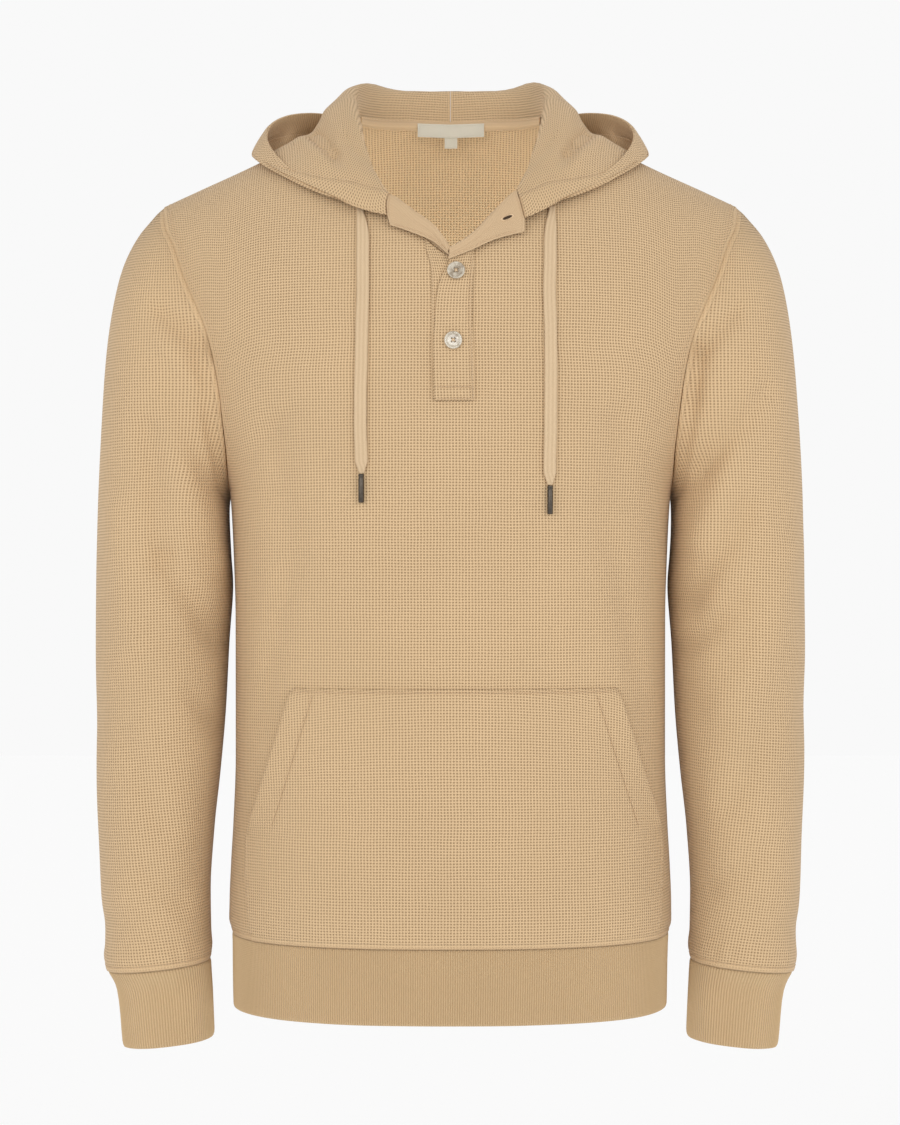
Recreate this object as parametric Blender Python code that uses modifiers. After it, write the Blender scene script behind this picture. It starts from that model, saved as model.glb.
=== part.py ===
"""Waffle-knit pullover hoodie with a buttoned henley placket, filled out as if it were worn.

Run with:  blender --background --python part.py

Everything below is worked out in millimetres and made in metres. +X is the wearer's left, the chest
faces -Y and +Z is up. The origin lies between the shoulders, level with the top of the shoulder seams'
middle, so the hem hangs near z = -684 mm. Each piece that a maker cuts is one closed object.
"""

import math

import bmesh
import bpy
from mathutils import Vector

# --- Driving dimensions, in millimetres -------------------------------------------------------------
MM = 0.001                # one millimetre in Blender's metres
CLOTH = 1.6               # thickness of the waffle knit
BAND_CLOTH = 2.2          # thickness of the doubled rib under its ribs
SEAM = 0.3                # space between two sewn pieces
LAID = 0.45               # space under a piece that lies on a panel
WAIST_SEAM_Z = -627.0     # where the panels meet the waistband
HEM_Z = -684.5            # bottom of the waistband
ARMPIT_Z = -282.0         # lowest point of the armhole
SECTION_POWER = 2.5       # how full the body's level sections are, 2 being an ellipse
CHEST_TURN_Z = -200.0     # height where the chest starts to round back to the shoulder seam
BACK_TURN_Z = -130.0      # the same for the upper back
NECK_POINT_X = 80.0       # where the shoulder seam meets the neck seam
SHOULDER_TIP_X = 226.0    # where the shoulder seam meets the armhole

BODY_ROWS = 9             # rows of faces from the waist seam to the armpit
ARMHOLE_ROWS = 10         # rows of faces from the armpit to the shoulder tip
TAB_COLUMNS = 3           # columns from the centre front to the hood's front end
HOOD_FRONT_COLUMNS = 3    # columns of the front panel that carry the hood
HOOD_BACK_COLUMNS = 4     # columns of half a back panel that carry the hood
SHOULDER_COLUMNS = 5      # columns along one shoulder seam
HOOD_SPLIT = 2            # hood columns on each column of a panel
HOOD_ROWS = 14            # rows of faces from the neck seam to the edge of the face opening

WAIST_RIBS = 530          # ribs round the waistband, 1.7 mm apart
CUFF_RIBS = 106           # ribs round a cuff, 2 mm apart
RIB_HEIGHT = 0.55         # how far a rib stands over the groove beside it

BUTTON_ACROSS = 14.0
BUTTON_THICK = 2.6
STRING_WIDE = 9.3         # a flat woven tape
STRING_THICK = 1.5
AGLET_ACROSS = 4.2
AGLET_LONG = 21.5


class Table:
    """Rows of named columns, read between the rows along a smooth curve that never overshoots."""

    def __init__(self, names, *rows):
        self.names = names.split()
        self.rows = rows
        self.places = [row[0] for row in rows]

    def at(self, place, name):
        column = self.names.index(name)
        values = [row[column] for row in self.rows]
        places = self.places
        place = min(max(place, places[0]), places[-1])
        last = len(places) - 2
        k = next((n for n in range(last) if place < places[n + 1]), last)
        width = places[k + 1] - places[k]
        t = (place - places[k]) / width
        start, end = self.slope(k, values), self.slope(k + 1, values)
        return (
            values[k] * (2 * t**3 - 3 * t**2 + 1)
            + start * width * (t**3 - 2 * t**2 + t)
            + values[k + 1] * (3 * t**2 - 2 * t**3)
            + end * width * (t**3 - t**2)
        )

    def slope(self, k, values):
        """The slope at row k: the harmonic mean of its two sides, or level at a peak."""
        steps = [
            (values[n + 1] - values[n]) / (self.places[n + 1] - self.places[n])
            for n in (k - 1, k)
            if 0 <= n < len(values) - 1
        ]
        if len(steps) == 1:
            return steps[0]
        before, after = steps
        return 0.0 if before * after <= 0 else 2 * before * after / (before + after)


# --- Tables of sections, in millimetres -------------------------------------------------------------
# Half width and the depth of chest and back at each height. Above the armpit the half width is that of
# the whole shoulder, which the armhole then cuts.
BODY = Table(
    "z half front back",
    (-690.0, 170.0, 111.0, 107.0),
    (-640.0, 171.0, 113.0, 108.0),
    (-627.0, 171.5, 113.0, 108.0),
    (-606.0, 173.6, 115.0, 110.0),
    (-573.0, 172.4, 113.0, 109.0),
    (-541.0, 170.6, 111.0, 106.0),
    (-490.0, 168.8, 109.0, 104.0),
    (-380.0, 168.9, 110.0, 106.0),
    (-340.0, 170.0, 113.0, 110.0),
    (-282.0, 173.2, 116.0, 114.0),
    (-257.0, 180.0, 117.0, 116.0),
    (-230.0, 190.0, 118.0, 117.0),
    (-181.0, 207.0, 118.0, 118.0),
    (-141.0, 225.0, 117.0, 118.0),
    (-92.0, 238.0, 115.0, 117.0),
    (-58.0, 245.0, 113.0, 115.0),
    (60.0, 262.0, 112.0, 114.0),
)
# Height of the shoulder seam at each distance from the centre.
SHOULDER = Table(
    "x top",
    (0.0, 44.0),
    (40.0, 34.0),
    (80.0, 13.0),
    (120.0, -8.0),
    (160.0, -28.0),
    (200.0, -46.0),
    (226.0, -58.0),
    (262.0, -78.0),
)
# Distance of the armhole seam from the centre at each height.
ARMHOLE = Table(
    "z front back",
    (-282.0, 173.2, 173.2),
    (-257.0, 172.9, 174.5),
    (-230.0, 174.8, 177.5),
    (-205.0, 177.4, 181.0),
    (-181.0, 181.4, 185.0),
    (-160.0, 187.0, 190.0),
    (-141.0, 195.0, 197.0),
    (-119.0, 205.0, 206.0),
    (-92.0, 215.0, 215.5),
    (-78.0, 222.0, 222.0),
    (-58.0, 226.0, 226.0),
)
# The neck seam, from the centre front or centre back (share 0) to the shoulder seam (share 1).
NECK_FRONT = Table(
    "share x z",
    (0.0, 0.0, -110.5),
    (0.167, 13.0, -99.5),
    (0.333, 29.0, -86.5),
    (0.5, 47.0, -75.0),
    (0.7, 64.0, -48.0),
    (0.85, 75.0, -17.0),
    (1.0, 80.0, 13.0),
)
NECK_BACK = Table(
    "share x z",
    (0.0, 0.0, 16.0),
    (0.35, 30.0, 16.0),
    (0.65, 58.0, 14.5),
    (0.85, 72.0, 13.5),
    (1.0, 80.0, 13.0),
)
# The left sleeve, section by section: where its outer and inner sides lie, how deep it is in front and
# behind, and how far its middle hangs behind the shoulder line.
SLEEVE = Table(
    "step out_x out_z in_x in_z front back middle",
    (0.0, 226.0, -58.0, 173.2, -282.0, 74.0, 76.0, 0.0),
    (1.0, 244.5, -80.0, 174.4, -286.0, 74.0, 76.0, 0.0),
    (2.0, 260.3, -115.0, 174.7, -291.0, 72.0, 74.0, 0.0),
    (3.0, 269.0, -162.0, 174.8, -299.0, 70.0, 71.0, -1.0),
    (4.0, 273.7, -225.0, 174.4, -312.0, 67.0, 68.0, -2.0),
    (5.0, 277.0, -290.0, 173.2, -332.0, 64.0, 65.0, -3.0),
    (6.0, 278.3, -350.0, 171.6, -357.0, 62.0, 63.0, -4.0),
    (7.0, 278.4, -405.0, 174.4, -400.0, 61.0, 62.0, -6.0),
    (8.0, 277.8, -460.0, 177.0, -454.0, 60.0, 61.0, -8.0),
    (9.0, 276.8, -510.0, 181.0, -502.0, 57.0, 58.0, -11.0),
    (10.0, 274.6, -555.0, 185.6, -546.0, 53.0, 54.0, -14.0),
    (11.0, 273.0, -600.0, 188.2, -592.0, 49.0, 50.0, -16.0),
    (12.0, 270.2, -635.0, 187.6, -627.0, 45.0, 46.0, -17.0),
    (13.0, 269.0, -655.5, 187.6, -647.5, 42.0, 43.0, -18.0),
)
# The left cuff in the same way: it draws in under its seam and then hangs straight.
CUFF = Table(
    "step out_x out_z in_x in_z front back middle",
    (0.0, 267.6, -655.9, 187.7, -647.9, 40.0, 41.0, -18.0),
    (1.0, 260.5, -671.5, 186.6, -664.2, 36.0, 36.0, -18.2),
    (2.0, 255.4, -715.0, 184.4, -707.5, 34.0, 34.0, -19.0),
)
# The hood as it lies down, a row for each place along half the neck seam (0 is its front end, 3 the
# shoulder seam, 7 the centre back). From the neck seam the cloth stands up to the roll, falls outwards
# along the inner side, turns at the trough, and comes up the outer side to the edge of the face opening.
HOOD_PLACES = ("roll", "fall", "inner", "trough", "outer", "edge")
HOOD_COLUMN_NAMES = (
    "place roll_x roll_y roll_z fall_x fall_y fall_z inner_x inner_y inner_z"
    " trough_x trough_y trough_z outer_x outer_y outer_z edge_x edge_y edge_z"
)
HOOD_FRONT_RIGHT = (
    0.0, 46.5, -99, -62, 47.4, -101.6, -65, 48, -102.4, -68,
    48.2, -102.8, -71, 48, -103, -74.5, 47.5, -103, -77.5,
)
HOOD_FRONT_LEFT = (
    0.0, 49.5, -98.5, -59, 51.5, -101.8, -64, 53, -103, -69,
    54, -103.6, -73, 55, -104, -77, 55.8, -104.2, -80,
)
HOOD_ROWS_FROM_STRING = (
    (1.0, 57.0, -84, -41, 62, -91, -49, 66, -95, -56, 69.5, -96.5, -63, 72, -97, -69, 72.1, -97, -72.4),
    (2.0, 69.0, -50, -6, 77, -63, -19, 86, -72, -33, 97, -77, -44, 116, -78, -57, 114.4, -81, -46.9),
    (2.7, 74.6, -12, 15.6, 90, -27, 10, 104, -37, -5, 122, -44, -20, 151, -38, -31, 139.4, -36, -19.8),
    (3.4, 81.0, 22, 42, 98, 21, 25, 108, 14, 9.5, 136, 8, -11.5, 156.5, 2, -18, 147.9, 5, 3.7),
    (4.2, 67.0, 51, 47.5, 84, 68, 28, 97, 94, -22, 108, 110, -70, 140, 92, -30, 122, 46, 24.0),
    (4.8, 53.0, 63, 48.0, 68, 82, 30, 82, 106, -36, 90, 122, -105, 116, 124, -48, 102, 74, 28),
    (5.6, 34.0, 72, 47.0, 43, 92, 30, 54, 115, -52, 60, 130, -142, 76, 152, -66, 70, 108, 27),
    (7.0, 0.0, 78, 45.5, 0, 96, 29, 0, 120, -60, 0, 135, -165, 0, 162, -80, 0, 126, 25),
)
HOODS = {
    True: Table(HOOD_COLUMN_NAMES, HOOD_FRONT_LEFT, *HOOD_ROWS_FROM_STRING),
    False: Table(HOOD_COLUMN_NAMES, HOOD_FRONT_RIGHT, *HOOD_ROWS_FROM_STRING),
}
# The facings at the top of the placket, turned out over the chest like small lapels, a row for each of
# the front panel's columns from the centre. The wearer's left one carries a buttonhole. roll is the fold
# at the neck opening, edge the free edge that lies on the chest, and lift its height over the panel.
FACINGS = {
    True: Table(
        "place roll_x roll_z edge_x edge_z lift",
        (0.0, 2.6, -106.0, 3.2, -112.4, 4.2),
        (1.0, 14.5, -96.5, 16.0, -105.6, 4.3),
        (2.0, 30.5, -80.5, 33.5, -97.6, 4.2),
        (3.0, 49.5, -59.0, 54.6, -91.5, 4.0),
    ),
    False: Table(
        "place roll_x roll_z edge_x edge_z lift",
        (0.0, 0.8, -105.0, 1.0, -109.4, 4.2),
        (1.0, 11.5, -90.2, 12.5, -99.5, 4.3),
        (2.0, 28.0, -77.5, 29.5, -92.0, 4.2),
        (3.0, 46.5, -62.0, 44.6, -86.5, 4.0),
    ),
}
# The placket's two bands: where each one's sides lie at each height, the free edge of the upper one
# towards the wearer's right. Both end at the top just under the neck opening.
OVERLAP = Table(
    "z right left",
    (-217.5, -11.9, 18.6),
    (-178.0, -12.5, 17.2),
    (-153.0, -11.0, 16.4),
    (-139.0, -9.9, 16.6),
    (-128.0, -7.4, 16.9),
    (-117.0, -2.4, 17.6),
    (-104.0, 2.6, 18.2),
)
UNDERLAP = Table(
    "z right left",
    (-216.0, -13.2, 13.6),
    (-150.0, -13.6, 13.4),
    (-132.0, -14.0, 12.4),
    (-117.0, -14.6, 6.0),
    (-104.0, -18.2, 1.8),
)
# The kangaroo pocket's sides at each height: upright from the waist seam, then slanting in to its top.
POCKET = Table(
    "z right left",
    (-627.0, -152.0, 159.0),
    (-600.0, -155.0, 162.0),
    (-565.0, -157.0, 163.5),
    (-549.0, -156.6, 163.0),
    (-539.0, -153.0, 160.0),
    (-487.0, -136.4, 143.2),
    (-433.0, -119.6, 126.2),
)
POCKET_ROW_HEIGHTS = (-627.0, -600.0, -572.0, -549.0, -539.0, -513.0, -487.0, -460.0, -433.0)


# --- The body that every other piece is laid out from -----------------------------------------------
def body_y(x, z, side):
    """How far forward (side -1, negative) or back (side +1) the cloth lies at x, z."""
    turn = CHEST_TURN_Z if side < 0 else BACK_TURN_Z
    reach = BODY.at(z, "front" if side < 0 else "back")
    across = max(0.0, 1 - min(1.0, abs(x) / BODY.at(z, "half")) ** SECTION_POWER) ** (1 / SECTION_POWER)
    rise = (z - turn) / (SHOULDER.at(abs(x), "top") - turn)
    rounding = math.sqrt(max(0.0, 1 - max(0.0, rise) ** 2))
    return side * reach * across * rounding


def lifted_off_body(point, gap):
    """The point, moved out where it is nearer than gap to the outside of the body."""
    side = -1 if point.y < 0 else 1
    turn = CHEST_TURN_Z if side < 0 else BACK_TURN_Z
    up = max(0.0, point.z - turn)
    deep = abs(body_y(point.x, min(point.z, turn), side))
    top = SHOULDER.at(abs(point.x), "top") - turn
    fullness = math.hypot(point.y / max(deep, 1.0), up / top)
    away = math.hypot(point.y, up)
    short = away / max(fullness, 0.01) + gap - away
    if short <= 0:
        return point
    grow = 1 + short / max(away, 1.0)
    return Vector((point.x, point.y * grow, point.z + up * (grow - 1)))


def along(points, share):
    """The point at a share of the length of a line of points."""
    steps = [(b - a).length for a, b in zip(points, points[1:])]
    left = share * sum(steps)
    for a, b, step in zip(points, points[1:], steps):
        if left <= step:
            return a.lerp(b, left / step if step else 0.0)
        left -= step
    return points[-1].copy()


def armhole_line(side):
    """The left armhole seam from the shoulder tip (first) to the armpit (last)."""
    name = "front" if side < 0 else "back"
    top = SHOULDER.at(SHOULDER_TIP_X, "top")
    line = []
    for n in range(81):
        z = top + (ARMPIT_Z - top) * (n / 80)
        x = ARMHOLE.at(z, name)
        line.append(Vector((x, body_y(x, z, side), z)))
    line[0].y = 0.0
    line[-1].y = 0.0
    return line


ARMHOLE_LINES = {side: armhole_line(side) for side in (-1, 1)}


def armhole_point(share, side):
    return along(ARMHOLE_LINES[side], share)


def level_section(z, side, edge_x):
    """The body's half section at one height, from the centre to edge_x."""
    line = []
    for n in range(61):
        x = edge_x * math.sin(math.pi / 2 * n / 60)
        line.append(Vector((x, body_y(x, z, side), z)))
    return line


# Folds that show in the fronts, the back and the sleeves: a trough (negative) or ridge along a line.
PANEL_FOLDS = Table(
    "row side x z to_x to_z wide deep",
    (0, -1, -150, -290, -95, -470, 34, -2.4),
    (1, -1, 150, -300, 92, -450, 34, -2.2),
    (2, -1, -120, -330, -70, -520, 28, 1.6),
    (3, -1, 122, -340, 76, -500, 28, 1.5),
    (4, 1, -150, -290, -60, -480, 36, -3.0),
    (5, 1, 148, -300, 55, -450, 36, -2.8),
    (6, 1, -120, -540, 90, -560, 34, -2.2),
    (7, 1, -90, -490, 100, -500, 34, 1.8),
)
SLEEVE_FOLDS = Table(
    "row step share to_step to_share wide deep",
    (0, 1.5, -0.95, 4.6, -0.35, 22, -3.2),
    (1, 2.5, -1.0, 6.0, -0.55, 18, 2.2),
    (2, 6.2, -0.9, 7.8, -0.2, 20, -2.6),
    (3, 7.6, -0.95, 8.8, -0.35, 18, -1.8),
    (4, 11.0, -0.8, 11.6, -0.1, 14, -1.8),
    (5, 1.5, 0.95, 4.8, 0.3, 22, -3.0),
    (6, 6.4, 0.1, 8.4, 0.85, 20, -2.6),
    (7, 10.2, 0.2, 11.6, 0.9, 16, -1.6),
)


def crease(x, z, x0, z0, x1, z1, wide):
    """How much of a fold's depth reaches a place: 1 on its line, fading to the sides and ends."""
    run = Vector((x1 - x0, z1 - z0))
    at = Vector((x - x0, z - z0))
    share = at.dot(run) / run.length_squared
    off = (at - run * min(max(share, 0.0), 1.0)).length
    return math.exp(-((off / (0.5 * wide)) ** 2))


def panel_fold(x, z, side):
    total = 0.0
    for _, face, x0, z0, x1, z1, wide, deep in PANEL_FOLDS.rows:
        if face == side:
            total += deep * crease(x, z, x0, z0, x1, z1, wide)
    fade_out = min(1.0, max(0.0, 1 - abs(x) / BODY.at(z, "half")) * 6)
    fade_down = min(1.0, max(0.0, z - WAIST_SEAM_Z) / 50)
    return total * fade_out * fade_down


def panel_point(u, row, side):
    """A point of the front (side -1) or back panel: u runs from -1 to 1, row from 0 at the waist seam."""
    neck, neck_share = neck_of(side)
    share = min(abs(u), 1.0)
    sign = -1 if u < 0 else 1
    turn = CHEST_TURN_Z if side < 0 else BACK_TURN_Z
    if row <= BODY_ROWS:
        z = WAIST_SEAM_Z + (ARMPIT_Z - WAIST_SEAM_Z) * row / BODY_ROWS
        edge = Vector((BODY.at(z, "half"), 0.0, z))
    else:
        edge = armhole_point(1 - (row - BODY_ROWS) / ARMHOLE_ROWS, side)
        z = edge.z
    if z <= turn:
        point = along(level_section(z, side, edge.x), share)
    else:
        full = SHOULDER.at(edge.x, "top") - turn
        turned = math.asin(min(1.0, (z - turn) / full)) / (math.pi / 2)
        low_edge = ARMHOLE.at(turn, "front" if side < 0 else "back")
        low = along(level_section(turn, side, low_edge), share)
        if share <= neck_share:
            top_x = neck.at(share / neck_share, "x")
            top_z = neck.at(share / neck_share, "z")
        else:
            reach = (share - neck_share) / (1 - neck_share)
            top_x = NECK_POINT_X + (SHOULDER_TIP_X - NECK_POINT_X) * reach
            top_z = SHOULDER.at(top_x, "top")
        blend = turned**1.4
        part = (low.x / low_edge) * (1 - blend) + (top_x / SHOULDER_TIP_X) * blend
        x = edge.x * part
        whole = (top_z - turn) / (SHOULDER.at(top_x, "top") - turn)
        angle = turned * math.asin(min(1.0, whole))
        z = turn + (SHOULDER.at(x, "top") - turn) * math.sin(angle)
        point = Vector((x, body_y(x, z, side), z))
        if share == 1.0:
            point = edge.copy()
    point.x *= sign
    point.y += side * panel_fold(point.x, point.z, side)
    return point


def neck_of(side):
    """The neck seam's table, and how much of the panel's half width lies under it."""
    if side < 0:
        under = TAB_COLUMNS + HOOD_FRONT_COLUMNS
        return NECK_FRONT, under / (under + SHOULDER_COLUMNS)
    return NECK_BACK, HOOD_BACK_COLUMNS / (HOOD_BACK_COLUMNS + SHOULDER_COLUMNS)


def half_columns(side):
    under = TAB_COLUMNS + HOOD_FRONT_COLUMNS if side < 0 else HOOD_BACK_COLUMNS
    return under + SHOULDER_COLUMNS


# --- Walls ------------------------------------------------------------------------------------------
def grid_normals(grid, closed=False):
    """Outward normals of a grid of points (rows of columns), square to both of its directions."""
    rows, columns = len(grid), len(grid[0])
    normals = []
    for j in range(rows):
        line = []
        for i in range(columns):
            if closed:
                left, right = grid[j][i - 1], grid[j][(i + 1) % columns]
            else:
                left, right = grid[j][max(i - 1, 0)], grid[j][min(i + 1, columns - 1)]
            low, high = grid[max(j - 1, 0)][i], grid[min(j + 1, rows - 1)][i]
            line.append((right - left).cross(high - low).normalized())
        normals.append(line)
    return normals


def moved(grid, normals, distance):
    """The grid's points, moved out along their normals (in, where distance is negative)."""
    return [[p + n * distance for p, n in zip(row, line)] for row, line in zip(grid, normals)]


def add_material(obj, colour, roughness, metallic=0.0):
    material = bpy.data.materials.new(obj.name)
    material.use_nodes = True
    shader = material.node_tree.nodes["Principled BSDF"]
    shader.inputs["Base Color"].default_value = (*colour, 1.0)
    shader.inputs["Roughness"].default_value = roughness
    shader.inputs["Metallic"].default_value = metallic
    obj.data.materials.append(material)


def keep(obj, name, colour, roughness, metallic=0.0):
    """Names a finished object, gives it its material and puts it in the hoodie's collection.

    Its faces are split across their shorter diagonal, so that a curved wall has no saw teeth.
    """
    split = obj.modifiers.new("Triangles", "TRIANGULATE")
    split.quad_method = "SHORTEST_DIAGONAL"
    obj.name = name
    obj.data.name = name
    for collection in list(obj.users_collection):
        collection.objects.unlink(obj)
    HOODIE.objects.link(obj)
    add_material(obj, colour, roughness, metallic)
    return obj


def sheet_wall(name, outer, inner, colour, roughness=0.9):
    """A cloth wall from a grid: Solidify gives it a second skin, and both are laid on their points."""
    rows, columns = len(outer) - 1, len(outer[0]) - 1
    bpy.ops.mesh.primitive_grid_add(x_subdivisions=columns, y_subdivisions=rows, size=1.0)
    obj = bpy.context.object
    thicken = obj.modifiers.new("Cloth", "SOLIDIFY")
    thicken.thickness = CLOTH * MM
    thicken.offset = -1.0
    bpy.ops.object.modifier_apply(modifier=thicken.name)
    points = [p for row in outer for p in row] + [p for row in inner for p in row]
    for vertex, point in zip(obj.data.vertices, points):
        vertex.co = point * MM
    return keep(obj, name, colour, roughness)


def ring_skin(mesh, rings, facing_out, end_names):
    """A tube's skin from rings of points, its first and last ring's points marked with end_names."""
    mark = mesh.verts.layers.int["end"]
    count = len(rings[0])
    made = bmesh.ops.create_grid(mesh, x_segments=count, y_segments=len(rings) - 1, size=1.0)["verts"]
    for n, vertex in enumerate(made):
        ring = n // (count + 1)
        vertex.co = rings[ring][n % (count + 1) % count] * MM
        if ring in (0, len(rings) - 1):
            vertex[mark] = end_names[0 if ring == 0 else 1]
    if not facing_out:
        bmesh.ops.reverse_faces(mesh, faces=list({face for vertex in made for face in vertex.link_faces}))
    bmesh.ops.remove_doubles(mesh, verts=made, dist=1e-6)


def tube_wall(name, outer_rings, inner_rings, colour, roughness=0.9):
    """A cloth tube, open at both ends. Its two skins may have different numbers of points a ring."""
    mesh = bmesh.new()
    mark = mesh.verts.layers.int.new("end")
    ring_skin(mesh, outer_rings, True, (1, 2))
    ring_skin(mesh, inner_rings, False, (3, 4))
    for outer_end, inner_end in ((1, 3), (2, 4)):
        rims = [
            edge for edge in mesh.edges
            if edge.is_boundary and all(vertex[mark] in (outer_end, inner_end) for vertex in edge.verts)
        ]
        bmesh.ops.bridge_loops(mesh, edges=rims)
    bmesh.ops.recalc_face_normals(mesh, faces=mesh.faces[:])
    data = bpy.data.meshes.new(name)
    mesh.to_mesh(data)
    mesh.free()
    obj = bpy.data.objects.new(name, data)
    bpy.context.scene.collection.objects.link(obj)
    return keep(obj, name, colour, roughness)


def sewn(points, next_points, normals, thickness, gap):
    """Both skins' points along a seam, drawn back from it by half its space.

    points is the seam line, next_points the line beside it in the same piece, and normals the seam's
    own, which the piece on its other side shares, so that the two walls end side by side.
    """
    outer, inner = [], []
    for n, (point, beside, normal) in enumerate(zip(points, next_points, normals)):
        before, after = points[max(n - 1, 0)], points[min(n + 1, len(points) - 1)]
        line = (after - before).normalized()
        back = beside - point
        back -= line * back.dot(line)
        back -= normal * back.dot(normal)
        back = back.normalized() * (gap / 2)
        outer.append(point + back)
        inner.append(point - normal * thickness + back)
    return outer, inner


# --- Colours from the photograph --------------------------------------------------------------------
WAFFLE_TAN = (0.60, 0.42, 0.25)
RIB_TAN = (0.55, 0.38, 0.215)
PLAIN_TAN = (0.61, 0.43, 0.26)
TAPE_TAN = (0.66, 0.49, 0.31)
LABEL_CREAM = (0.62, 0.57, 0.47)
HORN = (0.62, 0.54, 0.43)
GUNMETAL = (0.11, 0.09, 0.075)

# --- The scene starts empty -------------------------------------------------------------------------
for old in list(bpy.data.objects):
    bpy.data.objects.remove(old, do_unlink=True)
HOODIE = bpy.data.collections.new("waffle_hoodie")
bpy.context.scene.collection.children.link(HOODIE)


# --- Sleeves ----------------------------------------------------------------------------------------
def tube_point(table, step, turn):
    """A point round a sleeve or cuff: turn 0 is its outer side, 1 its inner side in front, -1 behind.

    A positive turn goes round the front. The section is a full ellipse between the two sides.
    """
    out = Vector((table.at(step, "out_x"), 0, table.at(step, "out_z")))
    inn = Vector((table.at(step, "in_x"), 0, table.at(step, "in_z")))
    centre = (out + inn) / 2
    reach = (out - inn) / 2
    deep = table.at(step, "front" if turn > 0 else "back")
    line = []
    for n in range(41):
        angle = math.pi * n / 40
        lean, depth = math.cos(angle), math.sin(angle)
        power = 2 / 2.25
        point = centre + reach * math.copysign(abs(lean) ** power, lean)
        point.y = -math.copysign(deep * depth**power, turn) + table.at(step, "middle")
        line.append(point)
    return along(line, abs(turn))


def sleeve_ring(step, count_half):
    """One ring of the left sleeve, from the outer side round the front to the inner side and back."""
    ring = []
    for n in range(2 * count_half):
        turn = n / count_half if n <= count_half else -(2 * count_half - n) / count_half
        if step == 0:
            point = armhole_point(abs(turn), -1 if turn > 0 else 1)
        else:
            point = tube_point(SLEEVE, step, turn)
            near = math.exp(-1.1 * step)
            seam = armhole_point(abs(turn), -1 if turn > 0 else 1)
            start = tube_point(SLEEVE, 0, turn)
            point += (seam - start) * near
        ring.append(point)
    return ring


def sleeve_folded(rings):
    """The sleeve's rings with its largest folds, which fade at the armhole and the cuff seam."""
    normals = grid_normals(rings, closed=True)
    count = len(rings[0])
    for step, ring in enumerate(rings):
        fade = min(1.0, step / 2) * min(1.0, (len(rings) - 1 - step) / 1.5)
        for n in range(count):
            turn = 2 * n / count if 2 * n <= count else -(2 * count - 2 * n) / count
            total = 0.0
            for _, s0, t0, s1, t1, wide, deep in SLEEVE_FOLDS.rows:
                scale = 45.0  # millimetres for a step along the sleeve, and a third of the way round it
                total += deep * crease(-turn * 3 * scale, step * scale, t0 * 3 * scale, s0 * scale,
                                       t1 * 3 * scale, s1 * scale, 2 * wide)
            inner_side = max(0.0, abs(turn) - 0.72) / 0.28
            ring[n] = ring[n] + normals[step][n] * total * fade * (1 - min(1.0, inner_side))
    return rings


SLEEVE_STEPS = len(SLEEVE.rows) - 1
LEFT_SLEEVE = sleeve_folded([sleeve_ring(step, ARMHOLE_ROWS) for step in range(SLEEVE_STEPS + 1)])
LEFT_SLEEVE_NORMALS = grid_normals(LEFT_SLEEVE, closed=True)


# --- Front and back panels --------------------------------------------------------------------------
def panel_grid(side):
    """A panel's outside: columns from the wearer's right to left in front, left to right behind."""
    half = half_columns(side)
    order = range(-half, half + 1) if side < 0 else range(half, -half - 1, -1)
    return [
        [panel_point(i / half, row, side) for i in order]
        for row in range(BODY_ROWS + ARMHOLE_ROWS + 1)
    ]


PANELS = {side: panel_grid(side) for side in (-1, 1)}


def flat_at_seam(grid, normals):
    """Turns the normals square to the side and shoulder seams, where both panels' walls end."""
    last = len(grid) - 1
    for j, row in enumerate(grid):
        for i in (0, len(row) - 1):
            if j <= BODY_ROWS:
                normals[j][i].y = 0.0
                normals[j][i].normalize()
    for i, point in enumerate(grid[last]):
        if abs(point.y) < 0.01:
            normals[last][i].y = 0.0
            normals[last][i].normalize()
    return normals


PANEL_NORMALS = {side: flat_at_seam(grid, grid_normals(grid)) for side, grid in PANELS.items()}


def armhole_normals(side):
    """Normals along the left armhole, from the armpit up, shared by the panel and the sleeve."""
    grid, normals = PANELS[side], PANEL_NORMALS[side]
    column = len(grid[0]) - 1 if side < 0 else 0
    shared = []
    for m in range(ARMHOLE_ROWS + 1):
        step = ARMHOLE_ROWS - m
        place = step if side < 0 else (2 * ARMHOLE_ROWS - step) % (2 * ARMHOLE_ROWS)
        both = normals[BODY_ROWS + m][column] + LEFT_SLEEVE_NORMALS[0][place]
        if m in (0, ARMHOLE_ROWS):
            both.y = 0.0
        shared.append(both.normalized())
    return shared


ARMHOLE_NORMALS = {side: armhole_normals(side) for side in (-1, 1)}


def mirrored(vector):
    return Vector((-vector.x, vector.y, vector.z))


def sew_armholes(grid, outer, inner, side):
    """Draws both skins of a panel back from its two armholes."""
    last_column = len(grid[0]) - 1
    for left in (True, False):
        column = last_column if (side < 0) == left else 0
        beside = column - 1 if column else 1
        points = [grid[BODY_ROWS + m][column] for m in range(ARMHOLE_ROWS + 1)]
        next_points = [grid[BODY_ROWS + m][beside] for m in range(ARMHOLE_ROWS + 1)]
        shared = ARMHOLE_NORMALS[side] if left else [mirrored(n) for n in ARMHOLE_NORMALS[side]]
        seam_out, seam_in = sewn(points, next_points, shared, CLOTH, SEAM)
        for m in range(ARMHOLE_ROWS + 1):
            outer[BODY_ROWS + m][column] = seam_out[m]
            inner[BODY_ROWS + m][column] = seam_in[m]


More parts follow.
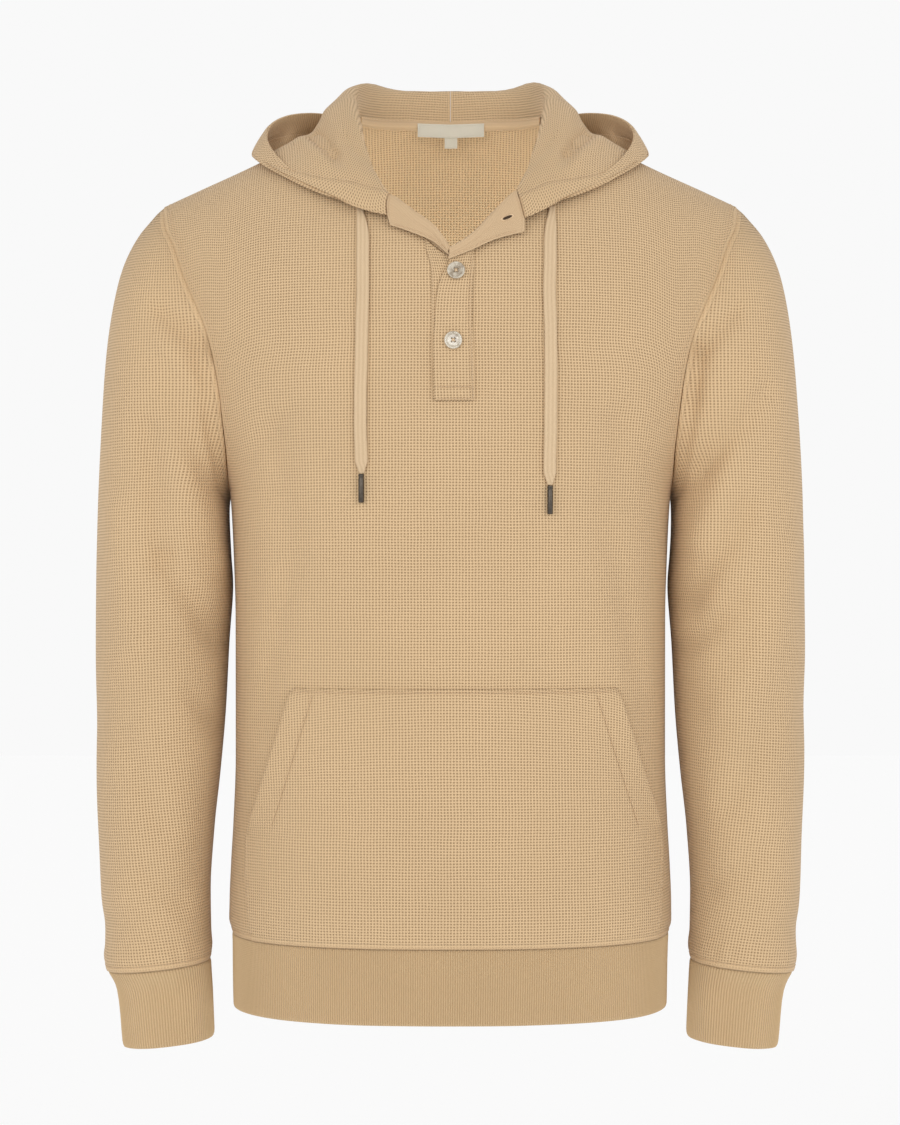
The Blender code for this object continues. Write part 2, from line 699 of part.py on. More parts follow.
def make_sleeve(name, left):
    rings = [[p.copy() for p in ring] for ring in LEFT_SLEEVE]
    inner = moved(rings, LEFT_SLEEVE_NORMALS, -CLOTH)
    count = len(rings[0])
    loop = [ARMHOLE_NORMALS[-1][ARMHOLE_ROWS - n] if n <= ARMHOLE_ROWS
            else ARMHOLE_NORMALS[1][ARMHOLE_ROWS - (count - n)] for n in range(count)]
    for n in range(count):
        before, after = LEFT_SLEEVE[0][n - 1], LEFT_SLEEVE[0][(n + 1) % count]
        seam_out, seam_in = sewn([before, LEFT_SLEEVE[0][n], after], [LEFT_SLEEVE[1][n]] * 3,
                                 [loop[n]] * 3, CLOTH, SEAM)
        rings[0][n], inner[0][n] = seam_out[1], seam_in[1]
    if not left:
        rings = [[mirrored(p) for p in reversed(ring)] for ring in rings]
        inner = [[mirrored(p) for p in reversed(ring)] for ring in inner]
    return tube_wall(name, rings, inner, WAFFLE_TAN)


# --- Ribbed cuffs and waistband ---------------------------------------------------------------------
CUFF_INNER_POINTS = 32
WAIST_INNER_POINTS = 64


def make_cuff(name, left):
    steps = range(len(CUFF.rows))
    count = 2 * CUFF_RIBS
    outer = []
    for step in steps:
        ring = [tube_point(CUFF, step, 2 * n / count if 2 * n <= count else 2 * n / count - 2)
                for n in range(count)]
        normals = ring_normals(ring)
        outer.append([p - n * (RIB_HEIGHT * (k % 2)) for k, (p, n) in enumerate(zip(ring, normals))])
    count = CUFF_INNER_POINTS
    inner = []
    for step in (steps[0], steps[-1]):
        ring = [tube_point(CUFF, step, 2 * n / count if 2 * n <= count else 2 * n / count - 2)
                for n in range(count)]
        wall = BAND_CLOTH + RIB_HEIGHT
        inner.append([p - n * wall for p, n in zip(ring, ring_normals(ring))])
    if not left:
        outer = [[mirrored(p) for p in reversed(ring)] for ring in outer]
        inner = [[mirrored(p) for p in reversed(ring)] for ring in inner]
    return tube_wall(name, outer, inner, RIB_TAN)


def ring_normals(ring):
    """Outward normals of a ring, in its own plane."""
    centre = sum(ring, Vector()) / len(ring)
    normals = []
    for n, point in enumerate(ring):
        line = ring[(n + 1) % len(ring)] - ring[n - 1]
        out = point - centre
        out -= line * (out.dot(line) / line.length_squared)
        normals.append(out.normalized())
    return normals


def body_ring(z, count):
    """A level ring round the whole body, evenly spaced, starting at the wearer's left side."""
    half = BODY.at(z, "half")
    front = level_section(z, -1, half)
    back = level_section(z, 1, half)
    loop = [*reversed(front)]                                   # left side to centre front
    loop += [mirrored(p) for p in front[1:]]                    # on to the right side
    loop += [mirrored(p) for p in reversed(back)][1:]           # round to the centre back
    loop += back[1:]                                            # and to the left side again
    return [along(loop, n / count) for n in range(count)]


def make_waistband():
    top, bottom = WAIST_SEAM_Z - SEAM / 2, HEM_Z
    outer = []
    for z in (bottom, top):
        ring = body_ring(z, 2 * WAIST_RIBS)
        normals = ring_normals(ring)
        outer.append([p - n * (RIB_HEIGHT * (k % 2)) for k, (p, n) in enumerate(zip(ring, normals))])
    inner = []
    for z in (bottom, top):
        ring = body_ring(z, WAIST_INNER_POINTS)
        wall = BAND_CLOTH + RIB_HEIGHT
        inner.append([p - n * wall for p, n in zip(ring, ring_normals(ring))])
    return tube_wall("waistband", outer, inner, RIB_TAN)


# --- Hood -------------------------------------------------------------------------------------------
HOOD_CLEAR = 4.0          # space between the hood's outside and the panels it lies on
HOOD_EASING = 2           # times that each row of the hood is eased
NECK_MIDDLE = Vector((0.0, -10.0, 0.0))   # seen from above, the middle of the neck opening
NECK_KNOTS = HOOD_FRONT_COLUMNS + HOOD_BACK_COLUMNS


def neck_knot(n, grids):
    """The nth panel point along the left neck seam, from the hood's front end to the centre back."""
    if n <= HOOD_FRONT_COLUMNS:
        return grids[-1][-1][half_columns(-1) + TAB_COLUMNS + n]
    return grids[1][-1][half_columns(1) - (NECK_KNOTS - n)]


def between_knots(knots, place):
    low = min(int(place), len(knots) - 2)
    return knots[low].lerp(knots[low + 1], place - low)


def smooth_line(knots, share):
    """A point on the smooth (Catmull-Rom) line through the knots, at a share of their number."""
    spot = share * (len(knots) - 1)
    k = min(int(spot), len(knots) - 2)
    t = spot - k
    before = knots[k - 1] if k else knots[0] * 2 - knots[1]
    a, b = knots[k], knots[k + 1]
    after = knots[k + 2] if k + 2 < len(knots) else b * 2 - a
    return 0.5 * (
        2 * a
        + (b - before) * t
        + (2 * before - 5 * a + 4 * b - after) * t**2
        + (3 * a - before - 3 * b + after) * t**3
    )


NECK_SEAM = [neck_knot(n, PANELS) for n in range(NECK_KNOTS + 1)]


def hood_section(place, table):
    """The hood's outside at one place along the neck, evenly spaced from its seam to its edge."""
    knots = [between_knots(NECK_SEAM, place)]
    for name in HOOD_PLACES:
        knots.append(Vector([table.at(place, f"{name}_{axis}") for axis in "xyz"]))
    knots.insert(1, knots[0].lerp(knots[1], 0.5))
    fine = [smooth_line(knots, n / 120) for n in range(121)]
    return [along(fine, j / HOOD_ROWS) for j in range(HOOD_ROWS + 1)]


def hood_grid(table):
    """The hood's outside as rows from seam to edge, eased along the neck so that no section stands out."""
    sections = [hood_section(n / HOOD_SPLIT, table) for n in range(NECK_KNOTS * HOOD_SPLIT + 1)]
    grid = [[section[j] for section in sections] for j in range(HOOD_ROWS + 1)]
    for row in grid[1:]:
        for _ in range(HOOD_EASING):
            row[1:-1] = [a * 0.25 + b * 0.5 + c * 0.25 for a, b, c in zip(row, row[1:], row[2:])]
        for n, seam_point in enumerate(grid[0]):
            if (row[n] - NECK_MIDDLE).xy.length > (seam_point - NECK_MIDDLE).xy.length + HOOD_CLEAR:
                row[n] = lifted_off_body(row[n], HOOD_CLEAR)
    return grid


HOOD_GRIDS = {left: hood_grid(table) for left, table in HOODS.items()}
HOOD_NORMALS = {left: grid_normals(grid) for left, grid in HOOD_GRIDS.items()}


def neck_normals():
    """Normals along the left neck seam, shared by the panels and the hood that is sewn to them."""
    shared = []
    for n in range(NECK_KNOTS + 1):
        both = neck_knot(n, PANEL_NORMALS) + HOOD_NORMALS[True][0][n * HOOD_SPLIT]
        if n == NECK_KNOTS:
            both.x = 0.0
        shared.append(both.normalized())
    return shared


NECK_NORMALS = neck_normals()


def make_hood(name, left):
    outer = [[p.copy() for p in row] for row in HOOD_GRIDS[left]]
    normals = HOOD_NORMALS[left]
    for row in normals:
        row[-1].x = 0.0
        row[-1].normalize()
    inner = moved(outer, normals, -CLOTH)
    shared = [between_knots(NECK_NORMALS, n / HOOD_SPLIT).normalized() for n in range(len(outer[0]))]
    outer[0], inner[0] = sewn(outer[0], outer[1], shared, CLOTH, SEAM)
    for skin in (outer, inner):
        for row in skin:
            row[-1].x = SEAM / 2
            row[0] += (row[1] - row[0]).normalized() * SEAM
    if not left:
        outer = [[mirrored(p) for p in reversed(row)] for row in outer]
        inner = [[mirrored(p) for p in reversed(row)] for row in inner]
    return sheet_wall(name, outer, inner, WAFFLE_TAN)


# --- Front and back panels, drawn back from every seam ----------------------------------------------
def make_panel(name, side):
    grid, normals = PANELS[side], PANEL_NORMALS[side]
    outer = [[p.copy() for p in row] for row in grid]
    inner = moved(grid, normals, -CLOTH)
    last, middle = len(grid) - 1, half_columns(side)
    sew_armholes(grid, outer, inner, side)
    for i in range(len(grid[0])):
        from_middle = abs(i - middle)
        knot = from_middle - TAB_COLUMNS if side < 0 else NECK_KNOTS - from_middle
        hooded = 0 <= knot <= HOOD_FRONT_COLUMNS if side < 0 else knot >= HOOD_FRONT_COLUMNS
        if hooded:
            on_left = (i > middle) == (side < 0)
            normal = NECK_NORMALS[knot] if on_left else mirrored(NECK_NORMALS[knot])
        elif side < 0 and knot < 0:
            normal = normals[last][i]
        else:
            continue
        beside = grid[last][max(i - 1, 0)], grid[last][i], grid[last][min(i + 1, len(grid[0]) - 1)]
        seam_out, seam_in = sewn(beside, [grid[last - 1][i]] * 3, [normal] * 3, CLOTH, SEAM)
        outer[last][i], inner[last][i] = seam_out[1], seam_in[1]
    for skin in (outer, inner):
        for row in skin:
            for point in row:
                if side * point.y < SEAM / 2:
                    point.y = side * SEAM / 2
        for point in skin[0]:
            point.z = WAIST_SEAM_Z + SEAM / 2
    return sheet_wall(name, outer, inner, WAFFLE_TAN)


# --- Pieces that lie on the front panel -------------------------------------------------------------
def on_front(x, z, lift):
    """A point at x, z on the front panel's outside, moved out by lift along its normal."""
    step = 2.0
    here = Vector((x, body_y(x, z, -1) - panel_fold(x, z, -1), z))
    across = Vector((2 * step, body_y(x + step, z, -1) - body_y(x - step, z, -1), 0))
    up = Vector((0, body_y(x, z + step, -1) - body_y(x, z - step, -1), 2 * step))
    return here + across.cross(up).normalized() * lift


BAND_THICK = 1.2          # one band of the placket
UNDERLAP_LIFT = LAID
OVERLAP_LIFT = UNDERLAP_LIFT + BAND_THICK + 0.35
BAND_ROWS, BAND_COLUMNS = 7, 4


def make_band(name, table, lift):
    """A placket band: straight at its foot, and cut along the neck opening at its top."""
    low, high = table.rows[0][0], table.rows[-1][0]
    outer, inner = [], []
    for j in range(BAND_ROWS + 1):
        out_row, in_row = [], []
        for i in range(BAND_COLUMNS + 1):
            across = i / BAND_COLUMNS
            top_x = table.at(high, "right") * (1 - across) + table.at(high, "left") * across
            neck_z = NECK_FRONT.at(abs(top_x) / 13.0 * 0.167, "z") - 2.0
            z = low + (neck_z - low) * j / BAND_ROWS
            x = table.at(z, "right") * (1 - across) + table.at(z, "left") * across
            in_row.append(on_front(x, z, lift))
            out_row.append(on_front(x, z, lift + BAND_THICK))
        outer.append(out_row)
        inner.append(in_row)
    return sheet_wall(name, outer, inner, WAFFLE_TAN)


FACING_THICK = 1.2
FACING_ROWS = 6


def make_facing(name, left):
    """A facing from the neck opening's edge up to its roll and down over the chest."""
    table, middle = FACINGS[left], half_columns(-1)
    seam = [PANELS[-1][-1][middle + n] for n in range(TAB_COLUMNS + 1)]
    seam_normals = [PANEL_NORMALS[-1][-1][middle + n] for n in range(TAB_COLUMNS)] + [NECK_NORMALS[0]]
    sections, shared = [], []
    for n in range(TAB_COLUMNS * HOOD_SPLIT + 1):
        place = n / HOOD_SPLIT
        base = between_knots(seam, place)
        shared.append(between_knots(seam_normals, place).normalized())
        lift = table.at(place, "lift")
        roll_x, roll_z = table.at(place, "roll_x"), table.at(place, "roll_z")
        edge_x, edge_z = table.at(place, "edge_x"), table.at(place, "edge_z")
        roll = on_front(roll_x, roll_z, lift + 1.0 + place)
        edge = on_front(edge_x, edge_z, lift)
        turn = on_front(0.75 * roll_x + 0.25 * edge_x, 0.75 * roll_z + 0.25 * edge_z, lift + 1.6 + place)
        half_way = on_front((roll_x + edge_x) / 2, (roll_z + edge_z) / 2, lift + 0.6 + 0.5 * place)
        fine = [smooth_line([base, roll, turn, half_way, edge], k / 60) for k in range(61)]
        if n == TAB_COLUMNS * HOOD_SPLIT:
            fine = [row[0] for row in HOOD_GRIDS[left]] + [edge]
        sections.append([along(fine, j / FACING_ROWS) for j in range(FACING_ROWS + 1)])
    outer = [[section[j] for section in sections] for j in range(FACING_ROWS + 1)]
    normals = grid_normals(outer)
    for row, line in zip(outer, normals):
        near = min(range(HOOD_ROWS + 1), key=lambda k: (HOOD_GRIDS[left][k][0] - row[-1]).length)
        line[-1] = HOOD_NORMALS[left][near][0]
    inner = moved(outer, normals, -FACING_THICK)
    outer[0], inner[0] = sewn(outer[0], outer[1], shared, FACING_THICK, SEAM)
    for skin in (outer, inner):
        for row in skin:
            row[-1] += (row[-2] - row[-1]).normalized() * 1.5 * SEAM
            row[0].x = max(row[0].x, SEAM)
    if not left:
        outer = [[mirrored(p) for p in reversed(row)] for row in outer]
        inner = [[mirrored(p) for p in reversed(row)] for row in inner]
    return sheet_wall(name, outer, inner, PLAIN_TAN)


POCKET_LIFT = 0.8         # room for the panel's own flat faces under the pocket
POCKET_HALF_COLUMNS = 10


def make_pocket():
    outer, inner = [], []
    for z in POCKET_ROW_HEIGHTS:
        z = max(z, WAIST_SEAM_Z + SEAM / 2)
        out_row, in_row = [], []
        for i in range(-POCKET_HALF_COLUMNS, POCKET_HALF_COLUMNS + 1):
            edge_x = POCKET.at(z, "left" if i > 0 else "right")
            spot = along(level_section(z, -1, abs(edge_x)), abs(i) / POCKET_HALF_COLUMNS)
            x = math.copysign(spot.x, i)
            in_row.append(on_front(x, z, POCKET_LIFT))
            out_row.append(on_front(x, z, POCKET_LIFT + CLOTH))
        outer.append(out_row)
        inner.append(in_row)
    return sheet_wall("kangaroo_pocket", outer, inner, WAFFLE_TAN)


def make_button(name, x, z):
    """A sewn-through button: a dished disc with a rounded rim, lying on the overlap."""
    radius, thick = BUTTON_ACROSS / 2, BUTTON_THICK
    profile = (
        (0.0, thick * 0.62), (radius * 0.55, thick * 0.62), (radius * 0.72, thick),
        (radius * 0.92, thick * 0.92), (radius, thick * 0.5), (radius * 0.86, 0.0), (0.0, 0.0),
    )
    mesh = bpy.data.meshes.new(name)
    mesh.from_pydata([(r * MM, 0, h * MM) for r, h in profile], [(n, n + 1) for n in range(6)], [])
    button = bpy.data.objects.new(name, mesh)
    bpy.context.scene.collection.objects.link(button)
    turned = button.modifiers.new("Turned", "SCREW")
    turned.steps = turned.render_steps = 20
    turned.use_merge_vertices = True
    turned.merge_threshold = 0.00001
    turned.use_normal_calculate = True
    seat = on_front(x, z, OVERLAP_LIFT + BAND_THICK + SEAM)
    out = (on_front(x, z, 9.0) - on_front(x, z, 0.0)).normalized()
    button.matrix_world = out.to_track_quat("Z", "Y").to_matrix().to_4x4()
    button.location = seat * MM
    return keep(button, name, HORN, 0.25)


# --- Drawstring -------------------------------------------------------------------------------------
# The middle line of each free end, from under the hood's edge down to its metal tip.
STRING_LIFT = 0.8
STRINGS = {
    "left": Table(
        "z x",
        (-280.0, 73.8),
        (-190.0, 74.6),
        (-133.0, 74.0),
        (-92.0, 75.0),
        (-70.0, 76.4),
    ),
    "right": Table(
        "z x",
        (-271.5, -66.0),
        (-224.0, -66.8),
        (-167.0, -65.8),
        (-133.0, -65.2),
        (-98.0, -65.4),
        (-70.0, -68.0),
    ),
}
STRING_ROWS = 20
STRING_TAPER = 9.0        # length over which the tape narrows into its tip


def make_string(side):
    table = STRINGS[side]
    low, high = table.rows[0][0], table.rows[-1][0]
    outer, inner = [], []
    for j in range(STRING_ROWS + 1):
        z = low + (high - low) * j / STRING_ROWS
        narrow = min(1.0, (z - low) / STRING_TAPER)
        half = 0.5 * (AGLET_ACROSS * 0.8 + (STRING_WIDE - AGLET_ACROSS * 0.8) * narrow)
        x = table.at(z, "x")
        in_row = [on_front(x + shift, z, STRING_LIFT) for shift in (-half, half)]
        out_row = [on_front(x + shift, z, STRING_LIFT + STRING_THICK) for shift in (-half, half)]
        outer.append(out_row)
        inner.append(in_row)
    return sheet_wall(f"drawstring_{side}", outer, inner, TAPE_TAN)


def make_aglet(side):
    """The crimped metal tip: a round sleeve with softened ends, hanging from the tape."""
    table = STRINGS[side]
    x, top = table.rows[0][1], table.rows[0][0] - SEAM
    high = on_front(x, top, STRING_LIFT + AGLET_ACROSS / 2)
    low = on_front(x, top - AGLET_LONG, STRING_LIFT + AGLET_ACROSS / 2)
    bpy.ops.mesh.primitive_cylinder_add(vertices=12, radius=AGLET_ACROSS / 2 * MM, depth=AGLET_LONG * MM)
    aglet = bpy.context.object
    soften = aglet.modifiers.new("Soft ends", "BEVEL")
    soften.width = 0.9 * MM
    soften.segments = 2
    soften.limit_method = "ANGLE"
    aglet.rotation_euler = (high - low).to_track_quat("Z", "Y").to_euler()
    aglet.location = (high + low) / 2 * MM
    return keep(aglet, f"aglet_{side}", GUNMETAL, 0.3, 1.0)


# --- Inside the back neck ---------------------------------------------------------------------------
TAPE_THICK = 0.8
TAPE_REACH = 6.0          # how far the tape goes above and below the neck seam
LABEL_THICK = 0.7


TAPE_CLEAR = 0.5          # space between the neck's walls and the tape
LABEL_TOP_UP = 2.2        # how far the label's top stands over the neck seam
LABEL_ROWS = 2


def tape_line(n):
    """Three points across the tape, below, on and above the neck seam, n hood columns behind its left end."""
    place = HOOD_FRONT_COLUMNS + n / HOOD_SPLIT
    column = HOOD_FRONT_COLUMNS * HOOD_SPLIT + n
    seam = between_knots(NECK_SEAM, place)
    inwards = -between_knots(NECK_NORMALS, place).normalized()
    middle = seam + inwards * (CLOTH + TAPE_CLEAR)
    up = (HOOD_GRIDS[True][1][column] - HOOD_GRIDS[True][0][column]).normalized()
    row_below = PANELS[1][-2][half_columns(1) - HOOD_BACK_COLUMNS:half_columns(1) + 1]
    down = (between_knots(row_below, place - HOOD_FRONT_COLUMNS) - seam).normalized()
    return (
        middle + down * TAPE_REACH + inwards * 1.2,
        middle + inwards * 0.6,
        middle + up * TAPE_REACH + inwards * 1.0,
    )


def tape_grids():
    """Both sides of the tape, from the left shoulder seam round the back of the neck to the right one."""
    half = [tape_line(n) for n in range(1, HOOD_BACK_COLUMNS * HOOD_SPLIT + 1)]
    whole = half + [tuple(mirrored(p) for p in line) for line in reversed(half[:-1])]
    outer = [[line[j] for line in whole] for j in range(3)]
    return outer, moved(outer, grid_normals(outer), -TAPE_THICK)


TAPE_OUTER, TAPE_INNER = tape_grids()


def depth_at(line, x):
    """How far back a line of points lies at x."""
    for a, b in zip(line, line[1:]):
        if (a.x - x) * (b.x - x) <= 0 and a.x != b.x:
            return a.y + (b.y - a.y) * (x - a.x) / (b.x - a.x)
    return line[0].y


def make_hanging_tag(name, right, left, top, bottom, forward, columns):
    """A blank woven piece that hangs on the tape's inner side, forward in front of it."""
    line = TAPE_INNER[1]
    outer, inner = [], []
    for j in range(LABEL_ROWS + 1):
        z = bottom + (top - bottom) * j / LABEL_ROWS
        spots = [left + (right - left) * i / columns for i in range(columns + 1)]
        back = [Vector((x, depth_at(line, x) - forward, z)) for x in spots]
        outer.append(back)
        inner.append([p - Vector((0, LABEL_THICK, 0)) for p in back])
    return sheet_wall(name, outer, inner, LABEL_CREAM)


LABEL_TOP = TAPE_INNER[1][len(TAPE_INNER[1]) // 2].z + LABEL_TOP_UP


# --- The whole hoodie -------------------------------------------------------------------------------
make_panel("front_panel", -1)
make_panel("back_panel", 1)
make_sleeve("sleeve_left", True)
make_sleeve("sleeve_right", False)
make_cuff("cuff_left", True)
make_cuff("cuff_right", False)
make_waistband()
make_hood("hood_left", True)
make_hood("hood_right", False)
make_band("placket_underlap", UNDERLAP, UNDERLAP_LIFT)
make_band("placket_overlap", OVERLAP, OVERLAP_LIFT)
make_facing("placket_facing_left", True)
make_facing("placket_facing_right", False)
make_pocket()
make_button("button_upper", 4.1, -121.2)
make_button("button_lower", 2.1, -173.2)
sheet_wall("neck_tape", TAPE_OUTER, TAPE_INNER, PLAIN_TAN)
make_hanging_tag("neck_label", -26.4, 27.2, LABEL_TOP, LABEL_TOP - 11.0, 1.3, 8)
make_hanging_tag("size_tab", -4.6, 5.6, LABEL_TOP - 1.0, LABEL_TOP - 19.5, 0.3, 2)
for side in STRINGS:
    make_string(side)
    make_aglet(side)
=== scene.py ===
"""Waffle-knit hoodie with a buttoned henley placket: how its cloth, seams and trims look.

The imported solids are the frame. Each cloth piece is laid out again as a fine sheet on the same sections,
with its creases, seams and stitching. Lengths are in millimetres until MM turns them into metres. +X is
the wearer's left, the chest faces -Y and +Z is up.
"""
import math

import bpy
import numpy as np
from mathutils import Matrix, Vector, noise


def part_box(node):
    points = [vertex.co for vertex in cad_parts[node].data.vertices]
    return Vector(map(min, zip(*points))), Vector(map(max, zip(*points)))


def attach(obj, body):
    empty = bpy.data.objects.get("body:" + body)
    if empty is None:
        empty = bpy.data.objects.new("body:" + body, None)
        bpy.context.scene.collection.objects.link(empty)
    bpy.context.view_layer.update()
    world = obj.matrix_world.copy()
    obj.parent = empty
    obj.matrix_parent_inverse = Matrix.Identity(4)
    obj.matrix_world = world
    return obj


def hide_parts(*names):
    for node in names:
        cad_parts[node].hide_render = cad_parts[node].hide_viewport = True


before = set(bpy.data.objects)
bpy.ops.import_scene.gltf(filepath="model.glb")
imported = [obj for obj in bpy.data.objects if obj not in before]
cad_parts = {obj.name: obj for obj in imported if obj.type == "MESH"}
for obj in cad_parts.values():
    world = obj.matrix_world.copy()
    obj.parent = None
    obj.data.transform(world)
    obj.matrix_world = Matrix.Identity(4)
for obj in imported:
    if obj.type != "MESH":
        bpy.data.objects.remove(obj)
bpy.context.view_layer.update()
bpy.ops.object.select_all(action="DESELECT")

MM = 0.001
BODY = "root"             # the one rigid body that every piece rides on

# --- Camera: two metres in front, level, at the height of the chest ---
CAMERA_BACK, CAMERA_HEIGHT = 2.0, -0.338
CAMERA_LENS = 81.01
bpy.ops.object.camera_add(location=(-0.0003, -CAMERA_BACK, CAMERA_HEIGHT), rotation=(math.pi / 2, 0, 0))
camera = bpy.context.object
camera.data.lens = CAMERA_LENS
camera.data.sensor_width = 36.0
bpy.context.scene.camera = camera

# --- The garment's sizes ---
CLOTH = 1.6               # waffle knit
WAIST_SEAM_Z = -627.0
HEM_Z = -684.5
ARMPIT_Z = -282.0
SECTION_POWER = 2.5
CHEST_TURN_Z = -200.0
BACK_TURN_Z = -130.0
NECK_POINT_X = 80.0
SHOULDER_TIP_X = 226.0
BODY_ROWS = 9             # the pattern's own rows; fine rows are fractions of these
ARMHOLE_ROWS = 10
TAB_COLUMNS = 3
HOOD_FRONT_COLUMNS = 3
HOOD_BACK_COLUMNS = 4
SHOULDER_COLUMNS = 5
WAIST_RIBS, WAIST_RIB_PITCH = 530, 1.7
CUFF_RIBS, CUFF_RIB_PITCH = 106, 2.0
RIB_HEIGHT = 0.55
BAND_WALL = 2.75          # doubled rib cloth
WAFFLE_ACROSS, WAFFLE_UP = 2.40, 2.24        # one cell of the waffle knit


class Table:
    """Rows of named columns, read between the rows along a smooth curve that never overshoots."""

    def __init__(self, names, *rows):
        self.names = names.split()
        self.rows = rows
        self.places = [row[0] for row in rows]

    def at(self, place, name):
        column = self.names.index(name)
        values = [row[column] for row in self.rows]
        places = self.places
        place = min(max(place, places[0]), places[-1])
        last = len(places) - 2
        k = next((n for n in range(last) if place < places[n + 1]), last)
        width = places[k + 1] - places[k]
        t = (place - places[k]) / width
        start, end = self.slope(k, values), self.slope(k + 1, values)
        return (
            values[k] * (2 * t**3 - 3 * t**2 + 1)
            + start * width * (t**3 - 2 * t**2 + t)
            + values[k + 1] * (3 * t**2 - 2 * t**3)
            + end * width * (t**3 - t**2)
        )

    def slope(self, k, values):
        """The slope at row k: the harmonic mean of its two sides, or level at a peak."""
        steps = [
            (values[n + 1] - values[n]) / (self.places[n + 1] - self.places[n])
            for n in (k - 1, k)
            if 0 <= n < len(values) - 1
        ]
        if len(steps) == 1:
            return steps[0]
        before, after = steps
        return 0.0 if before * after <= 0 else 2 * before * after / (before + after)


TORSO = Table(
    "z half front back",
    (-690.0, 170.0, 111.0, 107.0),
    (-640.0, 171.0, 113.0, 108.0),
    (-627.0, 171.5, 113.0, 108.0),
    (-606.0, 173.6, 115.0, 110.0),
    (-573.0, 172.4, 113.0, 109.0),
    (-541.0, 170.6, 111.0, 106.0),
    (-490.0, 168.8, 109.0, 104.0),
    (-380.0, 168.9, 110.0, 106.0),
    (-340.0, 170.0, 113.0, 110.0),
    (-282.0, 173.2, 116.0, 114.0),
    (-257.0, 180.0, 117.0, 116.0),
    (-230.0, 190.0, 118.0, 117.0),
    (-181.0, 207.0, 118.0, 118.0),
    (-141.0, 225.0, 117.0, 118.0),
    (-92.0, 238.0, 115.0, 117.0),
    (-58.0, 245.0, 113.0, 115.0),
    (60.0, 262.0, 112.0, 114.0),
)
SHOULDER = Table(
    "x top",
    (0.0, 44.0), (40.0, 34.0), (80.0, 13.0), (120.0, -8.0), (160.0, -28.0), (200.0, -46.0),
    (226.0, -58.0), (262.0, -78.0),
)
ARMHOLE = Table(
    "z front back",
    (-282.0, 173.2, 173.2),
    (-257.0, 172.9, 174.5),
    (-230.0, 174.8, 177.5),
    (-205.0, 177.4, 181.0),
    (-181.0, 181.4, 185.0),
    (-160.0, 187.0, 190.0),
    (-141.0, 195.0, 197.0),
    (-119.0, 205.0, 206.0),
    (-92.0, 215.0, 215.5),
    (-78.0, 222.0, 222.0),
    (-58.0, 226.0, 226.0),
)
NECK_FRONT = Table(
    "share x z",
    (0.0, 0.0, -110.5),
    (0.167, 13.0, -99.5),
    (0.333, 29.0, -86.5),
    (0.5, 47.0, -75.0),
    (0.7, 64.0, -48.0),
    (0.85, 75.0, -17.0),
    (1.0, 80.0, 13.0),
)
NECK_BACK = Table(
    "share x z",
    (0.0, 0.0, 16.0), (0.35, 30.0, 16.0), (0.65, 58.0, 14.5), (0.85, 72.0, 13.5), (1.0, 80.0, 13.0),
)
SLEEVE = Table(
    "step out_x out_z in_x in_z front back middle",
    (0.0, 226.0, -58.0, 173.2, -282.0, 74.0, 76.0, 0.0),
    (1.0, 244.5, -80.0, 174.4, -286.0, 74.0, 76.0, 0.0),
    (2.0, 260.3, -115.0, 174.7, -291.0, 72.0, 74.0, 0.0),
    (3.0, 269.0, -162.0, 174.8, -299.0, 70.0, 71.0, -1.0),
    (4.0, 273.7, -225.0, 174.4, -312.0, 67.0, 68.0, -2.0),
    (5.0, 277.0, -290.0, 173.2, -332.0, 64.0, 65.0, -3.0),
    (6.0, 278.3, -350.0, 171.6, -357.0, 62.0, 63.0, -4.0),
    (7.0, 278.4, -405.0, 174.4, -400.0, 61.0, 62.0, -6.0),
    (8.0, 277.8, -460.0, 177.0, -454.0, 60.0, 61.0, -8.0),
    (9.0, 276.8, -510.0, 181.0, -502.0, 57.0, 58.0, -11.0),
    (10.0, 274.6, -555.0, 185.6, -546.0, 53.0, 54.0, -14.0),
    (11.0, 273.0, -600.0, 188.2, -592.0, 49.0, 50.0, -16.0),
    (12.0, 270.2, -635.0, 187.6, -627.0, 45.0, 46.0, -17.0),
    (13.0, 269.0, -655.5, 187.6, -647.5, 42.0, 43.0, -18.0),
)
CUFF = Table(
    "step out_x out_z in_x in_z front back middle",
    (0.0, 267.6, -655.9, 187.7, -647.9, 40.0, 41.0, -18.0),
    (1.0, 260.5, -671.5, 186.6, -664.2, 36.0, 36.0, -18.2),
    (2.0, 255.4, -715.0, 184.4, -707.5, 34.0, 34.0, -19.0),
)
HOOD_PLACES = ("roll", "fall", "inner", "trough", "outer", "edge")
HOOD_COLUMN_NAMES = (
    "place roll_x roll_y roll_z fall_x fall_y fall_z inner_x inner_y inner_z"
    " trough_x trough_y trough_z outer_x outer_y outer_z edge_x edge_y edge_z"
)
HOOD_FRONT_RIGHT = (
    0.0, 46.5, -99, -62, 47.4, -101.6, -65, 48, -102.4, -68,
    48.2, -102.8, -71, 48, -103, -74.5, 47.5, -103, -77.5,
)
HOOD_FRONT_LEFT = (
    0.0, 49.5, -98.5, -59, 51.5, -101.8, -64, 53, -103, -69,
    54, -103.6, -73, 55, -104, -77, 55.8, -104.2, -80,
)
